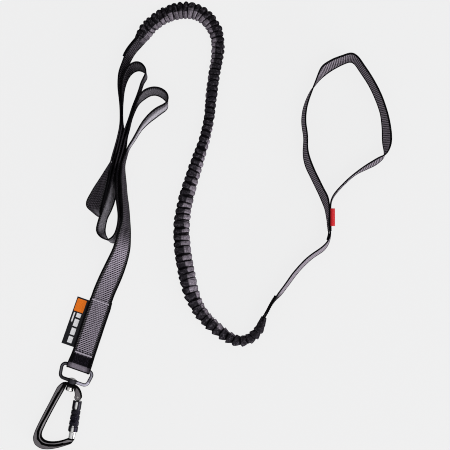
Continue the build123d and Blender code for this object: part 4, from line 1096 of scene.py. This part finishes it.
# ------------------------------------------------------------------ lock sleeve
KNURL = 44
SL_AROUND = KNURL * 6
grooves = [16.2, 22.4, 29.6, 36.2]
bands = [(17.4, 21.3), (23.6, 28.5), (30.7, 35.1)]
prof = [(5.0, 5.0), (5.1, 5.4), (5.3, 5.55), (5.7, 5.58)]
s = 6.2
while s < 42.9:
    r = 5.58 + 0.42 * float(smoothstep(8.0, 40.0, s))
    for gr in grooves:
        d = abs(s - gr)
        r -= 0.85 * (1 - float(smoothstep(0.35, 1.0, d)))
    prof.append((s, r))
    s += 0.22
prof += [(43.0, 5.94), (43.25, 5.72), (43.4, 5.2), (43.4, 4.5), (43.4, 4.08)]
inner = [(x, 4.06) for x in np.linspace(43.2, 5.2, 12)]
prof = np.array(prof + inner + [(5.0, 4.08), (5.0, 4.5)])
th = np.arange(SL_AROUND) / SL_AROUND * TAU
rows = []
for sx, rr in prof:
    bite = 0.0
    for lo, hi in bands:
        bite = max(bite, float(smoothstep(lo, lo + 0.5, sx) * (1 - smoothstep(hi - 0.5, hi, sx))))
    if rr < 5.0:
        bite = 0.0
    tri_w = np.abs(((th * KNURL / TAU + 0.5 * (sx / 1.9)) % 1.0) * 2 - 1)
    tri_b = np.abs(((th * KNURL / TAU - 0.5 * (sx / 1.9)) % 1.0) * 2 - 1)
    cut = np.minimum(smoothstep(0.0, 0.55, tri_w), smoothstep(0.0, 0.55, tri_b))
    radius = rr - 0.36 * bite * (1 - cut)
    rows.append(PIVOT + sx * GATE_X + radius[:, None] * (np.cos(th)[:, None] * Z + np.sin(th)[:, None] * GATE_Y))
rows = np.array(rows)
closed = np.concatenate([rows, rows[:1]])
n_r = len(rows)
i, j = np.meshgrid(np.arange(n_r), np.arange(SL_AROUND), indexing="ij")
i2, j2 = (i + 1) % n_r, (j + 1) % SL_AROUND
sl_faces = np.stack([i * SL_AROUND + j, i * SL_AROUND + j2, i2 * SL_AROUND + j2, i2 * SL_AROUND + j], -1).reshape(-1, 4)
sleeve = mesh_object("knurled_sleeve", rows.reshape(-1, 3) * MM, sl_faces)
bm = bmesh.new()
bm.from_mesh(sleeve.data)
bmesh.ops.recalc_face_normals(bm, faces=bm.faces)
bm.to_mesh(sleeve.data)
bm.free()


def slot_cutter(name, centre, length, width, low, high, aside=0.0):
    """A rounded slot through the sleeve's upper wall."""
    pts = []
    for k in range(17):
        w = -math.pi / 2 + math.pi * k / 16
        pts.append((centre + length / 2 - width / 2 + width / 2 * math.cos(w), width / 2 * math.sin(w)))
    for k in range(17):
        w = math.pi / 2 + math.pi * k / 16
        pts.append((centre - length / 2 + width / 2 + width / 2 * math.cos(w), width / 2 * math.sin(w)))
    verts = [(PIVOT + a * GATE_X + (b + aside) * GATE_Y + z * Z) * MM for z in (low, high) for a, b in pts]
    n = len(pts)
    faces = [tuple(range(n))[::-1], tuple(range(n, 2 * n))] + [(k, (k + 1) % n, n + (k + 1) % n, n + k) for k in range(n)]
    ob = mesh_object(name, verts, faces, smooth=False)
    bm = bmesh.new()
    bm.from_mesh(ob.data)
    bmesh.ops.recalc_face_normals(bm, faces=bm.faces)
    bm.to_mesh(ob.data)
    bm.free()
    return ob


def cut(target, *cutters):
    for c in cutters:
        mod = target.modifiers.new("cut", "BOOLEAN")
        mod.operation, mod.object, mod.solver = "DIFFERENCE", c, "EXACT"
        dg = bpy.context.evaluated_depsgraph_get()
        made = bpy.data.meshes.new_from_object(target.evaluated_get(dg))
        target.modifiers.clear()
        old = target.data
        target.data = made
        bpy.data.meshes.remove(old)
        bpy.data.objects.remove(c)


cut(sleeve, slot_cutter("window_cut", 10.5, 10.0, 4.8, 2.0, 8.0), slot_cutter("end_cut", 42.4, 13.4, 5.0, 2.0, 8.0, SLOT_ASIDE))
dress(sleeve, MAT["anodised"])
for p in sleeve.data.polygons:
    p.use_smooth = True

# ------------------------------------------------------------------ swivel eye
EYE_R = 2.1
eye_line = rounded(
    [(-21.0, 0.0), (-21.0, 21.4), (-2.6, 18.5), (-2.6, -16.6), (-21.0, -19.3), (-21.0, 0.0)],
    [5.0, 5.6, 5.6, 5.0],
    0.45,
)[:-1]
n_e = len(eye_line)
closing = np.concatenate([eye_line[-1:], eye_line, eye_line[:1]])
along_e = unit(closing[2:] - closing[:-2])
out_e = np.stack([along_e[:, 1], -along_e[:, 0]], 1)
EYE_AROUND = 28
w_e = np.arange(EYE_AROUND) / EYE_AROUND * TAU
eye_verts = []
for k in range(n_e):
    (eu, ev), (ou, ov) = eye_line[k], out_e[k]
    swell = 1.0 + 0.10 * float(smoothstep(10.0, 2.0, abs(ev))) * (1.0 if eu > -8 else 0.0)
    q = EYE_R * swell
    for w in w_e:
        eye_verts.append(local(eu + ou * q * math.cos(w), ev + ov * q * math.cos(w), 5.5 + q * math.sin(w)) * MM)
eye_faces = []
for k in range(n_e):
    kn = (k + 1) % n_e
    for j in range(EYE_AROUND):
        jn = (j + 1) % EYE_AROUND
        eye_faces.append((k * EYE_AROUND + j, k * EYE_AROUND + jn, kn * EYE_AROUND + jn, kn * EYE_AROUND + j))
boss = [(-5.3, 3.1), (-5.3, 4.3), (-5.05, 4.95), (-4.5, 5.3), (-3.6, 5.4), (-1.0, 5.4), (0.2, 5.25), (0.75, 4.8), (0.9, 4.2), (0.9, 3.05), (-5.3, 3.05)]
base = len(eye_verts)
BOSS_AROUND = 64
for bu, br in boss:
    for j in range(BOSS_AROUND):
        w = TAU * j / BOSS_AROUND
        eye_verts.append(local(bu, br * math.cos(w), 5.5 + br * math.sin(w)) * MM)
for k in range(len(boss) - 1):
    for j in range(BOSS_AROUND):
        jn = (j + 1) % BOSS_AROUND
        a, b = base + k * BOSS_AROUND, base + (k + 1) * BOSS_AROUND
        eye_faces.append((a + j, a + jn, b + jn, b + j))
k = len(boss) - 1
for j in range(BOSS_AROUND):
    jn = (j + 1) % BOSS_AROUND
    eye_faces.append((base + k * BOSS_AROUND + j, base + k * BOSS_AROUND + jn, base + jn, base + j))
# painted highlight: the top of the bar is drawn pale, brighter where a glint falls on one arm and darker near the boss;
# the boss gets a faint pale top
eye_highlight = []
for k in range(n_e):
    eu, ev = eye_line[k]
    glint = float(smoothstep(4.0, 8.0, ev) * smoothstep(-9.5, -5.5, eu)) + 0.35 * float(smoothstep(14.0, 18.0, ev))
    for w in w_e:
        shine = min(glint, 1.0)
        eye_highlight.append(float(smoothstep(0.90 - 0.25 * shine, 0.98 - 0.12 * shine, math.sin(w))) * (0.15 - 0.09 * float(smoothstep(2.0, -3.0, ev) * smoothstep(-7.0, -4.0, eu)) + 0.85 * shine))
for bu, br in boss:
    for j in range(BOSS_AROUND):
        eye_highlight.append(0.05 * float(smoothstep(0.75, 0.95, math.sin(TAU * j / BOSS_AROUND))))
eye = mesh_object("forged_eye", eye_verts, eye_faces, layers={"eye_highlight": np.array(eye_highlight)})
bm = bmesh.new()
bm.from_mesh(eye.data)
bmesh.ops.recalc_face_normals(bm, faces=bm.faces)
bm.to_mesh(eye.data)
bm.free()
dress(eye, MAT["eye_steel"])

# ------------------------------------------------------------------ CAD nodes that keep their own shape
NODE_MAT = {
    "swivel_eye": "dark_steel", "swivel_stud": "steel", "swivel_washer": "washer", "carabiner_body": "gunmetal",
    "gate_pivot_rivet": "spring", "gate_barrel": "aluminium", "gate_plunger": "spring", "gate_spring": "spring",
    "sleeve_spring": "spring", "sleeve_retaining_ring": "spring",
}
for node, key in NODE_MAT.items():
    ob = nodes[node]
    for k in range(max(1, len(ob.material_slots))):
        if len(ob.material_slots) == 0:
            ob.data.materials.append(MAT[key])
        else:
            ob.material_slots[k].material = MAT[key]

# ------------------------------------------------------------------ who stands for what
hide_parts("main_webbing")
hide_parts("handle_webbing")
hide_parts("bungee_cover")
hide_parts("elastic_core")
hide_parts("upper_splice_tab")
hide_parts("lower_splice_tab")
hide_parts("upper_splice_stitching")
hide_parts("lower_splice_stitching")
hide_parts("loop_stitching")
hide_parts("sewn_end_stitching")
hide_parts("label_tab")
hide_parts("red_tab")
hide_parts("lock_sleeve")
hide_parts("swivel_eye")
for ob in (main_strap, tab_up, splice_up, sewn_pale, sewn_dark, label):
    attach(ob, "webbing")
for ob in (hand_strap, tab_low, splice_low, loop_thread, red):
    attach(ob, "handle")
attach(sleeve, "sleeve")
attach(eye, "eye")
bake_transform(bungee)
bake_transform(core)

# ------------------------------------------------------------------ floor and light
floor_mesh = bpy.data.meshes.new("floor")
W = 6.0
floor_mesh.from_pydata([(-W, -W, -0.0004), (W, -W, -0.0004), (W, W, -0.0004), (-W, W, -0.0004)], [], [(0, 1, 2, 3)])
floor = bpy.data.objects.new("floor", floor_mesh)
scene.collection.objects.link(floor)
ff = bpy.data.materials.new("floor_pale")
ff.use_nodes = True
ft = ff.node_tree
bs = ft.nodes["Principled BSDF"]
bs.inputs["Base Color"].default_value = (FLOOR_ALBEDO, FLOOR_ALBEDO, FLOOR_ALBEDO, 1)
bs.inputs["Roughness"].default_value = 0.9
bs.inputs["Specular IOR Level"].default_value = 0.0
even = ft.nodes.new("ShaderNodeEmission")
even.inputs["Color"].default_value = (0.870, 0.870, 0.873, 1)
seen = ft.nodes.new("ShaderNodeLightPath")
share = ft.nodes.new("ShaderNodeMath")
share.operation = "MULTIPLY"
ft.links.new(seen.outputs["Is Camera Ray"], share.inputs[0])
share.inputs[1].default_value = FLOOR_EVEN
blend = ft.nodes.new("ShaderNodeMixShader")
ft.links.new(share.outputs[0], blend.inputs[0])
ft.links.new(bs.outputs[0], blend.inputs[1])
ft.links.new(even.outputs[0], blend.inputs[2])
ft.links.new(blend.outputs[0], ft.nodes["Material Output"].inputs["Surface"])
floor_mesh.materials.append(ff)

world = bpy.data.worlds.new("studio")
scene.world = world
world.use_nodes = True
wt = world.node_tree
for n in list(wt.nodes):
    wt.nodes.remove(n)
out = wt.nodes.new("ShaderNodeOutputWorld")
bg = wt.nodes.new("ShaderNodeBackground")
wt.links.new(bg.outputs[0], out.inputs[0])
tc = wt.nodes.new("ShaderNodeTexCoord")
dot = wt.nodes.new("ShaderNodeVectorMath")
dot.operation = "DOT_PRODUCT"
wt.links.new(tc.outputs["Generated"], dot.inputs[0])
dot.inputs[1].default_value = unit(np.array(SKY_FROM))
mr = wt.nodes.new("ShaderNodeMapRange")
mr.interpolation_type = "SMOOTHSTEP"
wt.links.new(dot.outputs["Value"], mr.inputs["Value"])
mr.inputs["From Min"].default_value, mr.inputs["From Max"].default_value = -0.6, 0.9
mr.inputs["To Min"].default_value, mr.inputs["To Max"].default_value = SKY_DARK, SKY_BRIGHT
wt.links.new(mr.outputs["Result"], bg.inputs["Strength"])
bg.inputs["Color"].default_value = (1, 1, 1, 1)


def softbox(name, place, aim, size, watts, colour=(1, 1, 1)):
    lamp = bpy.data.lights.new(name, "AREA")
    lamp.shape, lamp.size, lamp.size_y, lamp.energy, lamp.color = "RECTANGLE", size[0], size[1], watts, colour
    ob = bpy.data.objects.new(name, lamp)
    ob.location = place
    ob.rotation_euler = (Vector(aim) - Vector(place)).to_track_quat("-Z", "Y").to_euler()
    scene.collection.objects.link(ob)
    return ob


for name, azimuth, elevation, away, size, watts in LAMPS:
    az, el = math.radians(azimuth), math.radians(elevation)
    place = (away * math.cos(az) * math.cos(el), away * math.sin(az) * math.cos(el), away * math.sin(el))
    softbox(name, place, (0.0, 0.0, 0.0), size, watts)

scene.view_settings.view_transform = "Standard"
scene.view_settings.look = "None"
scene.view_settings.exposure = 0.0
scene.view_settings.gamma = 1.0
